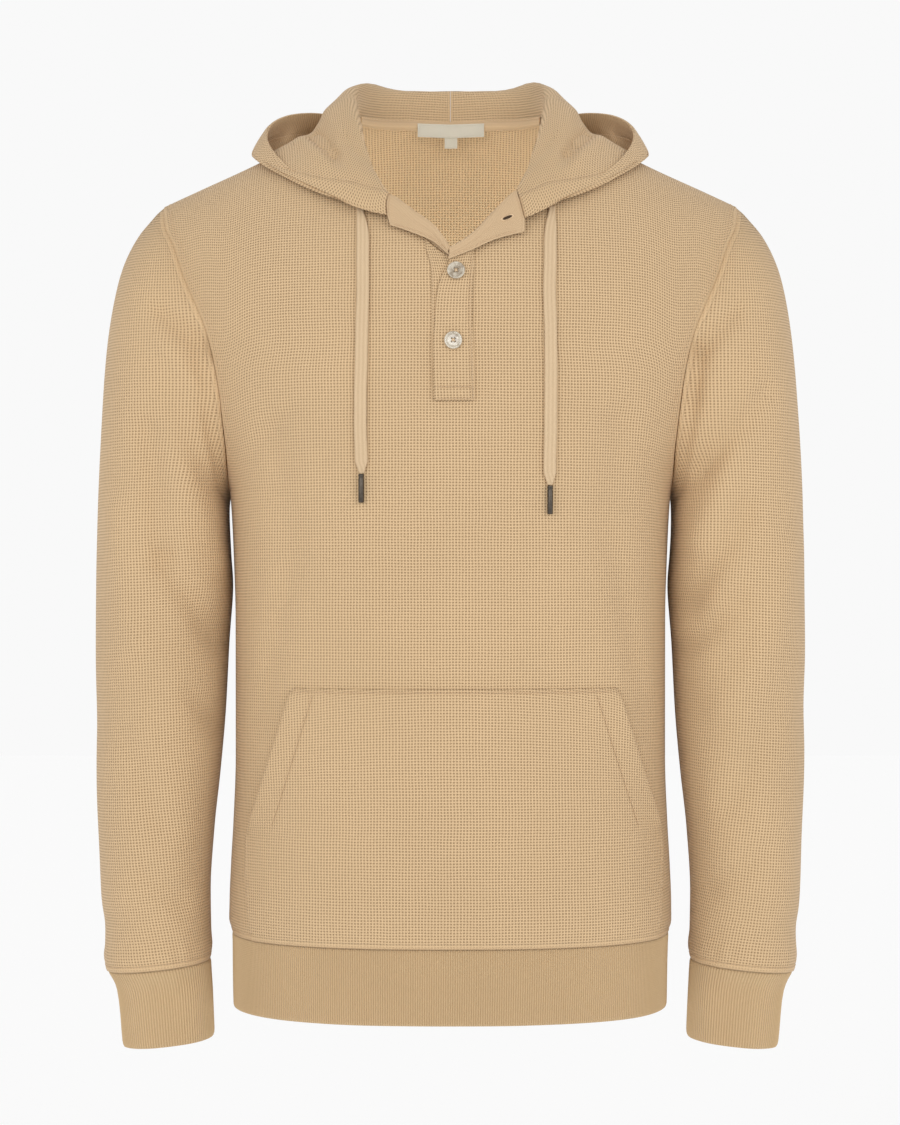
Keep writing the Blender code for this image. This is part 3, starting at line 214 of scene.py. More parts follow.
HOOD_ROWS_FROM_STRING = (
    (1.0, 57.0, -84, -41, 62, -91, -49, 66, -95, -56, 69.5, -96.5, -63, 72, -97, -69, 72.1, -97, -72.4),
    (2.0, 69.0, -50, -6, 77, -63, -19, 86, -72, -33, 97, -77, -44, 116, -78, -57, 114.4, -81, -46.9),
    (2.7, 74.6, -12, 18.0, 91, -27, 13, 106, -37, -1, 126, -44, -16, 157, -38, -26, 144.0, -36, -15.5),
    (3.4, 81.0, 22, 49, 100, 21, 32, 112, 14, 15.5, 141, 8, -6.5, 165.0, 2, -13, 153.0, 5, 8.5),
    (4.2, 67.0, 51, 55.0, 85, 68, 34, 98, 94, -18, 109, 110, -68, 144, 92, -27, 125, 46, 29.0),
    (4.8, 53.0, 63, 54.5, 68, 82, 35, 82, 106, -34, 90, 122, -104, 117, 124, -47, 103, 74, 31),
    (5.6, 34.0, 72, 51.0, 43, 92, 33, 54, 115, -50, 60, 130, -141, 76, 152, -66, 70, 108, 29),
    (7.0, 0.0, 78, 48.5, 0, 96, 31, 0, 120, -59, 0, 135, -165, 0, 162, -80, 0, 126, 27),
)
HOODS = {
    True: Table(HOOD_COLUMN_NAMES, HOOD_FRONT_LEFT, *HOOD_ROWS_FROM_STRING),
    False: Table(HOOD_COLUMN_NAMES, HOOD_FRONT_RIGHT, *HOOD_ROWS_FROM_STRING),
}
FACINGS = {
    True: Table(
        "place roll_x roll_z edge_x edge_z lift",
        (0.0, -0.6, -106.0, -1.6, -113.0, 5.0),
        (1.0, 14.5, -96.5, 16.0, -105.6, 4.3),
        (2.0, 30.5, -80.5, 33.5, -97.6, 4.2),
        (3.0, 49.5, -59.0, 54.6, -91.5, 4.0),
    ),
    False: Table(
        "place roll_x roll_z edge_x edge_z lift",
        (0.0, 0.8, -105.0, 1.0, -109.4, 4.2),
        (1.0, 11.5, -90.2, 12.5, -99.5, 4.3),
        (2.0, 28.0, -77.5, 29.5, -92.0, 4.2),
        (3.0, 46.5, -62.0, 44.6, -86.5, 4.0),
    ),
}
OVERLAP = Table(
    "z right left",
    (-217.5, -11.9, 18.6), (-178.0, -12.5, 17.2), (-153.0, -11.0, 16.4), (-139.0, -9.9, 16.6),
    (-128.0, -7.4, 16.9), (-117.0, -2.4, 17.6), (-104.0, 2.6, 18.2),
)
UNDERLAP = Table(
    "z right left",
    (-216.0, -13.2, 13.6), (-150.0, -13.6, 13.4), (-132.0, -14.0, 12.4), (-117.0, -14.6, 6.0),
    (-104.0, -18.2, 1.8),
)
POCKET = Table(
    "z right left",
    (-627.0, -152.0, 159.0),
    (-600.0, -155.0, 162.0),
    (-565.0, -157.0, 163.5),
    (-549.0, -156.6, 163.0),
    (-539.0, -153.0, 160.0),
    (-487.0, -136.4, 143.2),
    (-433.0, -119.6, 126.2),
)
POCKET_SLANT_FOOT = -544.0
STRINGS = {
    "left": Table("z x", (-280.0, 73.8), (-190.0, 74.6), (-133.0, 74.0), (-92.0, 75.0), (-70.0, 76.4)),
    "right": Table(
        "z x",
        (-271.5, -66.0), (-224.0, -66.8), (-167.0, -65.8), (-133.0, -65.2), (-98.0, -65.4), (-70.0, -68.0),
    ),
}
# Soft creases laid on the panels: a line, its width, and how far it sinks (or rises).
PANEL_FOLDS = Table(
    "row side x z to_x to_z wide deep",
    (0, -1, -134, -239, -120, -336, 27, -3.4),
    (1, -1, 128.6, -231, 121, -321, 27, -3.4),
    (2, -1, -124, -351, -144, -456, 22, -3.3),
    (3, -1, 125.6, -336, 153.4, -471, 20, -3.3),
    (4, -1, -168, -268, -122, -226, 15, -1.8),
    (5, -1, 168, -270, 128, -232, 15, -1.6),
    (6, -1, -166, -296, -138, -286, 12, -1.4),
    (7, -1, 166, -300, 136, -292, 12, -1.4),
    (8, -1, -160, -590, -158, -440, 24, -2.6),
    (9, -1, 160, -585, 158, -450, 24, -2.3),
    (10, 1, -150, -290, -60, -480, 36, -3.0),
    (11, 1, 148, -300, 55, -450, 36, -2.8),
    (12, 1, -120, -540, 90, -560, 34, -2.2),
    (13, 1, -90, -490, 100, -500, 34, 1.8),
    (14, 1, -168, -268, -118, -214, 16, -1.6),
    (15, 1, 168, -272, 124, -222, 16, -1.4),
    (16, 1, -150, -600, -70, -575, 22, -1.5),
    (17, 1, 150, -598, 60, -580, 22, -1.3),
    (18, 1, -60, -150, -30, -330, 40, -1.6),
    (19, 1, 64, -160, 36, -320, 40, -1.4),
)
# Sleeve creases, in steps along the arm and turns round it (0 outside, -1 inside by the front, 1 behind).
SLEEVE_FOLDS = {
    True: (
        (1.5, -0.95, 4.6, -0.35, 22, -3.0), (2.5, -1.0, 6.0, -0.55, 18, 2.0),
        (6.2, -0.9, 7.8, -0.2, 20, -2.4), (7.6, -0.95, 8.8, -0.35, 18, -1.8),
        (11.0, -0.8, 11.6, -0.1, 14, -1.6), (11.9, -0.7, 12.4, -0.2, 9, -1.0),
    ),
    False: (
        (1.6, -0.95, 4.4, -0.4, 21, -2.8), (2.6, -1.0, 5.8, -0.5, 18, 2.0),
        (6.5, -0.9, 8.0, -0.25, 20, -2.3), (7.9, -0.95, 9.1, -0.3, 18, -1.8),
        (10.8, -0.8, 11.5, -0.1, 14, -1.6), (12.0, -0.6, 12.3, -0.1, 9, -0.9),
    ),
}
# Creases that the camera's side of a sleeve or of the hood shows: a line in x and z, its width and its depth.
FRONT_FOLDS = {
    True: (
        (218, -149, 189.6, -177, 13, -5.6), (189.6, -177, 183.5, -217, 12, -4.6),
        (241, -210, 191, -267, 19, -4.6), (225.6, -298, 183.5, -367, 21, -5.3),
        (222, -367, 177, -405, 16, -4.0), (218, -252, 191, -321, 20, 3.4),
        (262, -330, 240, -420, 27, 2.5), (250, -450, 215, -520, 23, -3.0),
        (240, -560, 200, -585, 16, -2.3), (236, -405, 205, -450, 17, 2.0),
    ),
    False: (
        (222.6, -146, 182.7, -177, 13, -5.6), (218.7, -171, 182.7, -213.5, 16, 2.9),
        (231.7, -236.5, 218.7, -336, 21, -5.6), (218.7, -336, 175, -401, 21, -5.6),
        (199.5, -436, 175, -470, 15, -3.5), (203, -267, 180, -336, 22, 3.6),
        (258, -300, 245, -400, 25, 2.6), (250, -470, 220, -540, 21, -2.8),
        (235, -575, 205, -600, 15, -2.2), (238, -400, 200, -430, 17, 2.0),
    ),
}
HOOD_FRONT_FOLDS = (
    (115.7, 4, 106.7, -4.7, 11, -3.4), (106.7, -4.7, 98.4, -13.4, 11, -4.2),
    (98.4, -13.4, 90.5, -24.5, 11, -3.9), (90.5, -24.5, 86.5, -32.4, 10, -2.6),
    (116, -8, 96, -32, 12, 1.8), (97, 16, 84, -8, 12, 1.3),
)
# Creases of the lying hood, in neck places and shares of the way from the neck seam to the edge.
HOOD_FOLDS = (
    (1.1, 0.30, 2.6, 0.47, 0.16, -1.7), (2.2, 0.22, 3.1, 0.34, 0.14, 1.2), (4.1, 0.34, 5.6, 0.5, 0.3, -1.6),
    (5.9, 0.62, 6.8, 0.74, 0.35, -2.0), (4.6, 0.78, 5.8, 0.66, 0.3, 1.6),
)


# --- The shape of the body, shoulders and sleeves ---
def body_y(x, z, side):
    """How far forward (side -1, negative) or back (side +1) the cloth lies at x, z."""
    turn = CHEST_TURN_Z if side < 0 else BACK_TURN_Z
    reach = TORSO.at(z, "front" if side < 0 else "back")
    across = max(0.0, 1 - min(1.0, abs(x) / TORSO.at(z, "half")) ** SECTION_POWER) ** (1 / SECTION_POWER)
    rise = (z - turn) / (SHOULDER.at(abs(x), "top") - turn)
    return side * reach * across * math.sqrt(max(0.0, 1 - max(0.0, rise) ** 2))


def lifted_off_body(point, gap):
    """The point, moved out where it is nearer than gap to the outside of the body."""
    side = -1 if point.y < 0 else 1
    turn = CHEST_TURN_Z if side < 0 else BACK_TURN_Z
    up = max(0.0, point.z - turn)
    deep = abs(body_y(point.x, min(point.z, turn), side))
    top = SHOULDER.at(abs(point.x), "top") - turn
    fullness = math.hypot(point.y / max(deep, 1.0), up / top)
    away = math.hypot(point.y, up)
    short = away / max(fullness, 0.01) + gap - away
    if short <= 0:
        return point
    grow = 1 + short / max(away, 1.0)
    return Vector((point.x, point.y * grow, point.z + up * (grow - 1)))


def spread(line, shares):
    """Points at the given shares of the length of a line of points, as an array."""
    line = np.array([tuple(p) for p in line])
    lengths = np.concatenate(([0.0], np.cumsum(np.linalg.norm(np.diff(line, axis=0), axis=1))))
    wanted = np.asarray(shares) * lengths[-1]
    return np.stack([np.interp(wanted, lengths, line[:, k]) for k in range(3)], axis=-1)


def armhole_line(side):
    """The left armhole seam from the shoulder tip (first) to the armpit (last)."""
    name = "front" if side < 0 else "back"
    top = SHOULDER.at(SHOULDER_TIP_X, "top")
    line = []
    for n in range(121):
        z = top + (ARMPIT_Z - top) * (n / 120)
        x = ARMHOLE.at(z, name)
        line.append(Vector((x, body_y(x, z, side), z)))
    line[0].y = line[-1].y = 0.0
    return line


ARMHOLE_LINES = {side: armhole_line(side) for side in (-1, 1)}


def level_section(z, side, edge_x):
    """The body's half section at one height, from the centre to edge_x."""
    spots = [edge_x * math.sin(math.pi / 2 * n / 80) for n in range(81)]
    return [Vector((x, body_y(x, z, side), z)) for x in spots]


def eased(share):
    """A share of 0 to 1, with soft ends."""
    return share * share * (3 - 2 * share)


def hill(distance, centre, reach):
    """A soft hill, 1 at its centre, that has faded away at about twice its reach."""
    return np.exp(-(((distance - centre) / reach) ** 2))


def crease(x, z, x0, z0, x1, z1, wide):
    """How much of a crease's depth reaches a place: 1 on its line, fading to the sides and ends."""
    run_x, run_z = x1 - x0, z1 - z0
    share = np.clip(((x - x0) * run_x + (z - z0) * run_z) / (run_x**2 + run_z**2), 0.0, 1.0)
    off = np.hypot(x - x0 - run_x * share, z - z0 - run_z * share)
    return hill(off, 0.0, 0.5 * wide)


def front_creases(points, normals, folds):
    """Creases given in x and z, laid on the points of a left piece that face the front."""
    facing = np.clip(-normals[..., 1] * 2.5, 0.0, 1.0)
    return facing * sum(deep * crease(points[..., 0], points[..., 2], x0, z0, x1, z1, wide)
                        for x0, z0, x1, z1, wide, deep in folds)


def panel_fold(x, z, side):
    """Creases, and the slight unevenness of knitted cloth, at a place on the front or back."""
    total = 0.0
    for _, face, x0, z0, x1, z1, wide, deep in PANEL_FOLDS.rows:
        if face == side:
            total += deep * crease(x, z, x0, z0, x1, z1, wide)
    total += 0.9 * noise.noise(Vector((x / 70, z / 120, 3.0 * side)))
    fade_out = min(1.0, max(0.0, 1 - abs(x) / TORSO.at(z, "half")) * 6)
    fade_down = min(1.0, max(0.0, z - WAIST_SEAM_Z) / 50)
    return total * fade_out * fade_down


def neck_of(side):
    """The neck seam's table, and how much of the panel's half width lies under it."""
    if side < 0:
        under = TAB_COLUMNS + HOOD_FRONT_COLUMNS
        return NECK_FRONT, under / (under + SHOULDER_COLUMNS)
    return NECK_BACK, HOOD_BACK_COLUMNS / (HOOD_BACK_COLUMNS + SHOULDER_COLUMNS)


LOW_ROWS = {}


def half_row(row, side, shares):
    """Points of the left half of a panel's row, at shares of the way from the centre to the edge."""
    neck, neck_share = neck_of(side)
    turn = CHEST_TURN_Z if side < 0 else BACK_TURN_Z
    if row <= BODY_ROWS:
        z = WAIST_SEAM_Z + (ARMPIT_Z - WAIST_SEAM_Z) * row / BODY_ROWS
        edge = Vector((TORSO.at(z, "half"), 0.0, z))
    else:
        edge = Vector(spread(ARMHOLE_LINES[side], [1 - (row - BODY_ROWS) / ARMHOLE_ROWS])[0])
        z = edge.z
    if z <= turn:
        points = spread(level_section(z, side, edge.x), shares)
    else:
        full = SHOULDER.at(edge.x, "top") - turn
        turned = math.asin(min(1.0, (z - turn) / full)) / (math.pi / 2)
        low_edge = ARMHOLE.at(turn, "front" if side < 0 else "back")
        key = (side, len(shares), shares[-2])
        if key not in LOW_ROWS:
            LOW_ROWS[key] = spread(level_section(turn, side, low_edge), shares)
        points = []
        for share, low in zip(shares, LOW_ROWS[key]):
            if share <= neck_share:
                top_x = neck.at(share / neck_share, "x")
                top_z = neck.at(share / neck_share, "z")
            else:
                reach = (share - neck_share) / (1 - neck_share)
                top_x = NECK_POINT_X + (SHOULDER_TIP_X - NECK_POINT_X) * reach
                top_z = SHOULDER.at(top_x, "top")
            blend = turned**1.4
            x = edge.x * ((low[0] / low_edge) * (1 - blend) + (top_x / SHOULDER_TIP_X) * blend)
            whole = (top_z - turn) / (SHOULDER.at(top_x, "top") - turn)
            point_z = turn + (SHOULDER.at(x, "top") - turn) * math.sin(turned * math.asin(min(1.0, whole)))
            points.append((x, body_y(x, point_z, side), point_z))
        if shares[-1] == 1.0:
            points[-1] = tuple(edge)
        points = np.array(points)
    return points


def on_front(x, z, lift):
    """A point at x, z on the front panel's outside, moved out by lift along its normal."""
    step = 2.0
    here = Vector((x, body_y(x, z, -1) - panel_fold(x, z, -1), z))
    across = Vector((2 * step, body_y(x + step, z, -1) - body_y(x - step, z, -1), 0))
    up = Vector((0, body_y(x, z + step, -1) - body_y(x, z - step, -1), 2 * step))
    return here + across.cross(up).normalized() * lift


# --- Sheets of cloth ---
def normals_of(grid):
    """Outward normals of a grid of points."""
    across = np.gradient(grid, axis=1)
    up = np.gradient(grid, axis=0)
    normals = np.cross(across, up)
    return normals / np.maximum(np.linalg.norm(normals, axis=-1, keepdims=True), 1e-9)


def lengths_along(grid, axis):
    """How far each point of a grid lies along its row (axis 1) or column (axis 0)."""
    steps = np.linalg.norm(np.diff(grid, axis=axis), axis=-1)
    total = np.cumsum(steps, axis=axis)
    zero = np.zeros_like(np.take(total, [0], axis=axis))
    return np.concatenate((zero, total), axis=axis)


def seam_mark(distance, stitch=None):
    """A sewn edge's mark on the cloth: 0 on the seam, 7 on the topstitching, 12 where there is neither."""
    near = np.minimum(distance, 3.5)
    if stitch is None:
        return np.where(distance < 3.5, near, 12.0)
    past = np.clip(7.0 + distance - stitch, 3.5, 12.0)
    return np.where(distance < min(3.5, stitch - 2.0), near, past)


def groove_mark(distance, stitch):
    """Topstitching's groove alone, with the knit running on beside it."""
    return 7.0 + np.clip(np.abs(distance - stitch), 0.0, 5.0)


def bevelled(distance, drop, reach):
    """How far cloth sinks beside a seam or a folded edge."""
    return -drop * hill(distance, 0.0, reach)


def line_at(grid, distance, wanted, columns):
    """The line over a grid's columns where a distance that shrinks up the grid has the wanted value."""
    return np.array([[np.interp(-wanted, -distance[:, i], grid[:, i, k]) for k in range(3)] for i in columns])


MIRROR = np.array([-1, 1, 1])         # left to right


def flipped(grid):
    """A left piece's grid as the right one's."""
    return grid[:, ::-1] * MIRROR


def right_from_left(outer, inner, uv, mark):
    """A left piece's skins, knit and marks as the right one's."""
    return flipped(outer), flipped(inner), uv[:, ::-1], mark[:, ::-1]


def dress(piece, material):
    """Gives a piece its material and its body."""
    piece.data.materials.append(material)
    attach(piece, BODY)


def two_sided(name, outer, inner, uv, mark, material, smooth=50):
    """A piece with an outside and an inside: a grid given a second skin and laid on its points."""
    rows, columns = outer.shape[0] - 1, outer.shape[1] - 1
    bpy.ops.mesh.primitive_grid_add(x_subdivisions=columns, y_subdivisions=rows, size=1.0)
    piece = bpy.context.object
    piece.name = piece.data.name = name
    thicken = piece.modifiers.new("Cloth", "SOLIDIFY")
    thicken.thickness = 0.01
    thicken.offset = -1.0
    bpy.ops.object.modifier_apply(modifier=thicken.name)
    points = np.concatenate((outer.reshape(-1, 3), inner.reshape(-1, 3))) * MM
    piece.data.vertices.foreach_set("co", points.astype(np.float32).ravel())
    corners = np.empty(len(piece.data.loops), dtype=np.int32)
    piece.data.loops.foreach_get("vertex_index", corners)
    layer = piece.data.uv_layers[0]
    layer.name = "cloth"
    both = np.concatenate((uv.reshape(-1, 2), uv.reshape(-1, 2))) * MM
    layer.data.foreach_set("uv", both[corners].astype(np.float32).ravel())
    marks = piece.data.attributes.new("seam", "FLOAT", "POINT")
    marks.data.foreach_set("value", np.concatenate((mark.ravel(), mark.ravel())).astype(np.float32))
    piece.data.update()
    bpy.ops.object.shade_smooth_by_angle(angle=math.radians(smooth))
    dress(piece, material)
    return piece


def cloth_sheet(name, outer, inner, uv, mark, material):
    """A finished cloth piece with its size as laid flat."""
    piece = two_sided(name, outer, inner, uv, mark, material)
    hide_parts(name.replace("_cloth", ""))
    return piece


# --- Materials ---
def node(tree, kind, inputs=None, **settings):
    made = tree.nodes.new(kind)
    for key, value in settings.items():
        setattr(made, key, value)
    for key, value in (inputs or {}).items():
        if isinstance(value, bpy.types.NodeSocket):
            tree.links.new(value, made.inputs[key])
        else:
            made.inputs[key].default_value = value
    return made


def reckon(tree, operation, first, second=0.0, third=0.0):
    """One step of arithmetic in a material."""
    return node(tree, "ShaderNodeMath", {0: first, 1: second, 2: third}, operation=operation).outputs[0]


def mixed(tree, share, first, second):
    """Two colours, mixed by share."""
    made = node(tree, "ShaderNodeMix", data_type="RGBA", clamp_factor=True)
    for socket, value in ((made.inputs[0], share), (made.inputs[6], first), (made.inputs[7], second)):
        if isinstance(value, bpy.types.NodeSocket):
            tree.links.new(value, socket)
        else:
            socket.default_value = (*value, 1.0) if isinstance(value, tuple) else value
    return made.outputs[2]


def ramp(tree, value, stops):
    """A value read through stops of (place, height)."""
    made = node(tree, "ShaderNodeValToRGB", {"Fac": value})
    band = made.color_ramp
    band.interpolation = "EASE"
    while len(band.elements) < len(stops):
        band.elements.new(0.5)
    for element, (place, height) in zip(band.elements, stops):
        element.position = place
        element.color = (height, height, height, 1.0)
    return made.outputs["Color"]


def start_material(name, roughness, metallic=0.0):
    material = bpy.data.materials.new(name)
    material.use_nodes = True
    shader = material.node_tree.nodes["Principled BSDF"]
    shader.inputs["Roughness"].default_value = roughness
    shader.inputs["Metallic"].default_value = metallic
    return material, material.node_tree, shader


def speckle(tree, scale, detail, **more):
    """Noise through the piece, from 0 to 1."""
    place = node(tree, "ShaderNodeTexCoord").outputs["Object"]
    inputs = {"Vector": place, "Scale": scale, "Detail": detail, **more}
    return node(tree, "ShaderNodeTexNoise", inputs).outputs["Fac"]


def uneven_tone(tree, colour, amount, size):
    """A colour with the faint light and dark patches of dyed cloth, each about size millimetres."""
    patches = speckle(tree, 1000.0 / size, 3.0)
    dark = tuple(c * (1 - amount) for c in colour)
    light = tuple(min(1.0, c * (1 + amount)) for c in colour)
    return mixed(tree, reckon(tree, "MULTIPLY_ADD", patches, 1.6, -0.3), dark, light)


# Over a seam mark's 0 to 12: the seam, the flat beside it, the topstitching's groove, and the open cloth.
SEAM_PROFILE = (
    (0.0, 0.2), (0.07, 0.45), (0.16, 0.6), (0.46, 0.62), (0.58, 0.35), (0.66, 0.52), (0.85, 0.5), (1.0, 0.5),
)
# Painted shade over the same marks: darkest in the seam's fold, and a dark line in the topstitching's groove.
SEAM_SHADE = ((0.0, 0.35), (0.06, 0.12), (0.14, 0.0), (0.54, 0.0), (0.58, 0.3), (0.63, 0.0))


def finish_cloth(tree, shader, tone, deep, height, cell_shade):
    """Joins a knit's cells, its seams and its fuzz to the shader: bumps, and colour mixed towards deep as
    painted shade in the knit's hollows and along the seams and topstitching. height is in millimetres.
    """
    mark = node(tree, "ShaderNodeAttribute", attribute_name="seam").outputs["Fac"]
    share = reckon(tree, "DIVIDE", mark, 12.0)
    profile = ramp(tree, share, SEAM_PROFILE)
    fuzz = speckle(tree, 1900.0, 2.0)
    calm = reckon(tree, "GREATER_THAN", mark, 6.9)
    calm = reckon(tree, "MULTIPLY_ADD", calm, 0.5, 0.5)
    height = reckon(tree, "MULTIPLY", height, calm)
    height = reckon(tree, "MULTIPLY_ADD", fuzz, 0.12, height)
    height = reckon(tree, "MULTIPLY_ADD", profile, 1.3, height)
    height = reckon(tree, "MULTIPLY", height, MM)
    bump = node(tree, "ShaderNodeBump", {"Height": height, "Distance": 1.0, "Strength": 1.0})
    tree.links.new(bump.outputs["Normal"], shader.inputs["Normal"])
    # Painted shade: the knit's hollows, then the seams' and topstitching's grooves, with the fuzz's random
    # tone on top.
    shade = reckon(tree, "MULTIPLY", cell_shade, calm)
    seam_shade = ramp(tree, share, SEAM_SHADE)
    shade = reckon(tree, "MAXIMUM", shade, seam_shade)
    shade = reckon(tree, "MULTIPLY_ADD", reckon(tree, "SUBTRACT", fuzz, 0.5), 0.35, shade)
    tree.links.new(mixed(tree, shade, tone, deep), shader.inputs["Base Color"])
    shader.inputs["Sheen Weight"].default_value = 0.12
    shader.inputs["Sheen Roughness"].default_value = 0.45


def along_cloth(tree):
    """The place along the cloth: the whole, across and up."""
    spot = node(tree, "ShaderNodeUVMap", uv_map="cloth").outputs["UV"]
    axes = node(tree, "ShaderNodeSeparateXYZ", {"Vector": spot})
    return spot, axes.outputs["X"], axes.outputs["Y"]


def stripes(tree, axis, pitch):
    """A wave over the cloth: 1 on each line and -1 between them. pitch is in millimetres."""
    return reckon(tree, "COSINE", reckon(tree, "MULTIPLY", axis, 2 * math.pi / (pitch * MM)))


def waffle_knit(name, light, dark):
    """Square pits between raised wales and courses, the pits painted darker as shade."""
    material, tree, shader = start_material(name, 0.88)
    spot, across, up = along_cloth(tree)
    sway = node(tree, "ShaderNodeTexNoise", {"Vector": spot, "Scale": 38.0, "Detail": 1.0},
                noise_dimensions="2D")
    sway_axes = node(tree, "ShaderNodeSeparateColor", {"Color": sway.outputs["Color"]})
    waves = []
    for axis, drift, cell in ((across, "Red", WAFFLE_ACROSS), (up, "Green", WAFFLE_UP)):
        turned = reckon(tree, "MULTIPLY", axis, 2 * math.pi / (cell * MM))
        turned = reckon(tree, "MULTIPLY_ADD", sway_axes.outputs[drift], 2.2, turned)
        waves.append(reckon(tree, "COSINE", turned))
    both = reckon(tree, "ADD", *waves)
    pit = node(tree, "ShaderNodeMapRange", {"Value": both, "From Min": 0.0, "From Max": 1.8},
               interpolation_type="SMOOTHSTEP").outputs["Result"]
    height = reckon(tree, "MULTIPLY", pit, -0.5)
    height = reckon(tree, "MULTIPLY_ADD", waves[0], -0.09, height)
    tone = uneven_tone(tree, light, 0.035, 90.0)
    # pit also paints the pits' shade: the colour darkens towards dark where the cloth sinks.
    finish_cloth(tree, shader, tone, dark, height, reckon(tree, "MULTIPLY", pit, 0.78))
    return material


def plain_knit(name, light, dark):
    """Smooth jersey: fine wales that hardly show, along the piece, the low lines between them painted a
    little darker as shade.
    """
    material, tree, shader = start_material(name, 0.9)
    _, _, up = along_cloth(tree)
    wale = stripes(tree, up, 2.1)
    # The wale wave sets both the bump and a painted shade that is darkest between the wales.
    finish_cloth(tree, shader, uneven_tone(tree, light, 0.03, 60.0), dark,
                 reckon(tree, "MULTIPLY", wale, 0.07), reckon(tree, "MULTIPLY_ADD", wale, -0.09, 0.12))
    return material


def rib_knit(name, light, dark, pitch):
    """Rib cloth: grooves between upright ribs, painted darker as shade, with the knit's small V shapes along
    each.
    """
    material, tree, shader = start_material(name, 0.9)
    _, across, up = along_cloth(tree)
    turned = reckon(tree, "MULTIPLY", across, 2 * math.pi / (pitch * MM))
    rib = reckon(tree, "COSINE", turned)
    lean = reckon(tree, "MULTIPLY", reckon(tree, "ABSOLUTE", reckon(tree, "SINE", turned)), 2.2)
    rise = reckon(tree, "MULTIPLY_ADD", up, 2 * math.pi / 0.0014, lean)
    stitch = reckon(tree, "COSINE", rise)
    groove = node(tree, "ShaderNodeMapRange", {"Value": rib, "From Min": 0.1, "From Max": -0.95},
                  interpolation_type="SMOOTHSTEP").outputs["Result"]
    height = reckon(tree, "MULTIPLY_ADD", rib, 0.14, reckon(tree, "MULTIPLY", stitch, 0.05))
    # groove paints the shade between the ribs: the colour darkens where the ribs' bump is lowest.
    finish_cloth(tree, shader, uneven_tone(tree, light, 0.03, 70.0), dark, height,
                 reckon(tree, "MULTIPLY", groove, 0.42))
    return material


TAPE_RIB = 3.1            # a lengthwise rib of the drawstring


def woven_tape(name, light, dark):
    """Flat braided tape: narrow lengthwise ribs crossed by slanting yarns, the hollows between the ribs
    painted darker as shade.
    """
    material, tree, shader = start_material(name, 0.82)
    _, across, up = along_cloth(tree)
    rib = stripes(tree, across, TAPE_RIB)
    turned = reckon(tree, "MULTIPLY", across, 2 * math.pi / (TAPE_RIB * MM))
    lean = reckon(tree, "ABSOLUTE", reckon(tree, "SINE", turned))
    slant = reckon(tree, "MULTIPLY_ADD", lean, 2.5, reckon(tree, "MULTIPLY", up, 2 * math.pi / 0.0012))
    yarn = reckon(tree, "COSINE", slant)
    height = reckon(tree, "MULTIPLY_ADD", rib, 0.12, reckon(tree, "MULTIPLY", yarn, 0.09))
    # Painted shade: darkest in the hollows between the ribs.
    shade = reckon(tree, "MULTIPLY_ADD", rib, -0.13, 0.2)
    finish_cloth(tree, shader, uneven_tone(tree, light, 0.02, 50.0), dark, height, shade)
    return material


def thread_finish(name, colour):
    material, tree, shader = start_material(name, 0.7)
    tree.links.new(uneven_tone(tree, colour, 0.06, 4.0), shader.inputs["Base Color"])
    shader.inputs["Sheen Weight"].default_value = 0.1
    return material


def horn_finish(name):
    """Polished horn: cream with smoky grey clouds, under a clear gloss."""
    material, tree, shader = start_material(name, 0.22)
    tone = ramp(tree, speckle(tree, 150.0, 4.0, Distortion=1.2), ((0.36, 0.0), (0.62, 1.0)))
    tree.links.new(mixed(tree, tone, (0.30, 0.24, 0.17), (0.56, 0.50, 0.40)), shader.inputs["Base Color"])
    shader.inputs["Coat Weight"].default_value = 0.5
    shader.inputs["Coat Roughness"].default_value = 0.08
    return material


def metal_finish(name):
    """Dark gunmetal, brushed by wear."""
    material, tree, shader = start_material(name, 0.3, 1.0)
    wear = speckle(tree, 420.0, 4.0)
    tree.links.new(mixed(tree, wear, (0.05, 0.042, 0.034), (0.13, 0.11, 0.09)), shader.inputs["Base Color"])
    tree.links.new(reckon(tree, "MULTIPLY_ADD", wear, 0.25, 0.2), shader.inputs["Roughness"])
    return material


def label_satin(name):
    """Blank woven satin label: fine crosswise threads."""
    material, tree, shader = start_material(name, 0.5)
    _, across, up = along_cloth(tree)
    weft, warp = stripes(tree, up, 0.5), stripes(tree, across, 0.7)
    height = reckon(tree, "MULTIPLY_ADD", weft, 0.025, reckon(tree, "MULTIPLY", warp, 0.015))
    finish_cloth(tree, shader, uneven_tone(tree, (0.58, 0.54, 0.44), 0.04, 12.0), (0.42, 0.36, 0.27), height,
                 reckon(tree, "MULTIPLY_ADD", weft, 0.08, 0.1))
    return material


# The second colour of each cloth is the painted shade that its hollows, grooves and seams darken towards.
TAN, SHADED_TAN = (0.645, 0.453, 0.258), (0.305, 0.18, 0.08)
RIB_TAN, SHADED_RIB = (0.605, 0.43, 0.24), (0.31, 0.185, 0.08)
WAFFLE_CLOTH = waffle_knit("waffle_knit", TAN, SHADED_TAN)
PLAIN_CLOTH = plain_knit("plain_knit", (0.565, 0.402, 0.24), (0.40, 0.25, 0.13))
WAIST_RIB_CLOTH = rib_knit("waistband_rib_knit", RIB_TAN, SHADED_RIB, WAIST_RIB_PITCH)
CUFF_RIB_CLOTH = rib_knit("cuff_rib_knit", RIB_TAN, SHADED_RIB, CUFF_RIB_PITCH)
TAPE = woven_tape("woven_tape", (0.69, 0.512, 0.32), (0.40, 0.26, 0.14))
THREAD = thread_finish("sewing_thread", (0.66, 0.475, 0.29))
HORN = horn_finish("polished_horn")
METAL = metal_finish("dark_tip_metal")
LABEL = label_satin("label_satin")


# --- Sewing thread ---
STITCH = 2.7              # one stitch
STITCH_GAP = 0.7
STITCH_DIP, STITCH_RISE = 0.18, 0.16
THREAD_THICK = 0.42
THREAD_LIFT = 0.15


def only(piece):
    """Selects this piece and no other."""
    bpy.ops.object.select_all(action="DESELECT")
    piece.select_set(True)
    bpy.context.view_layer.objects.active = piece


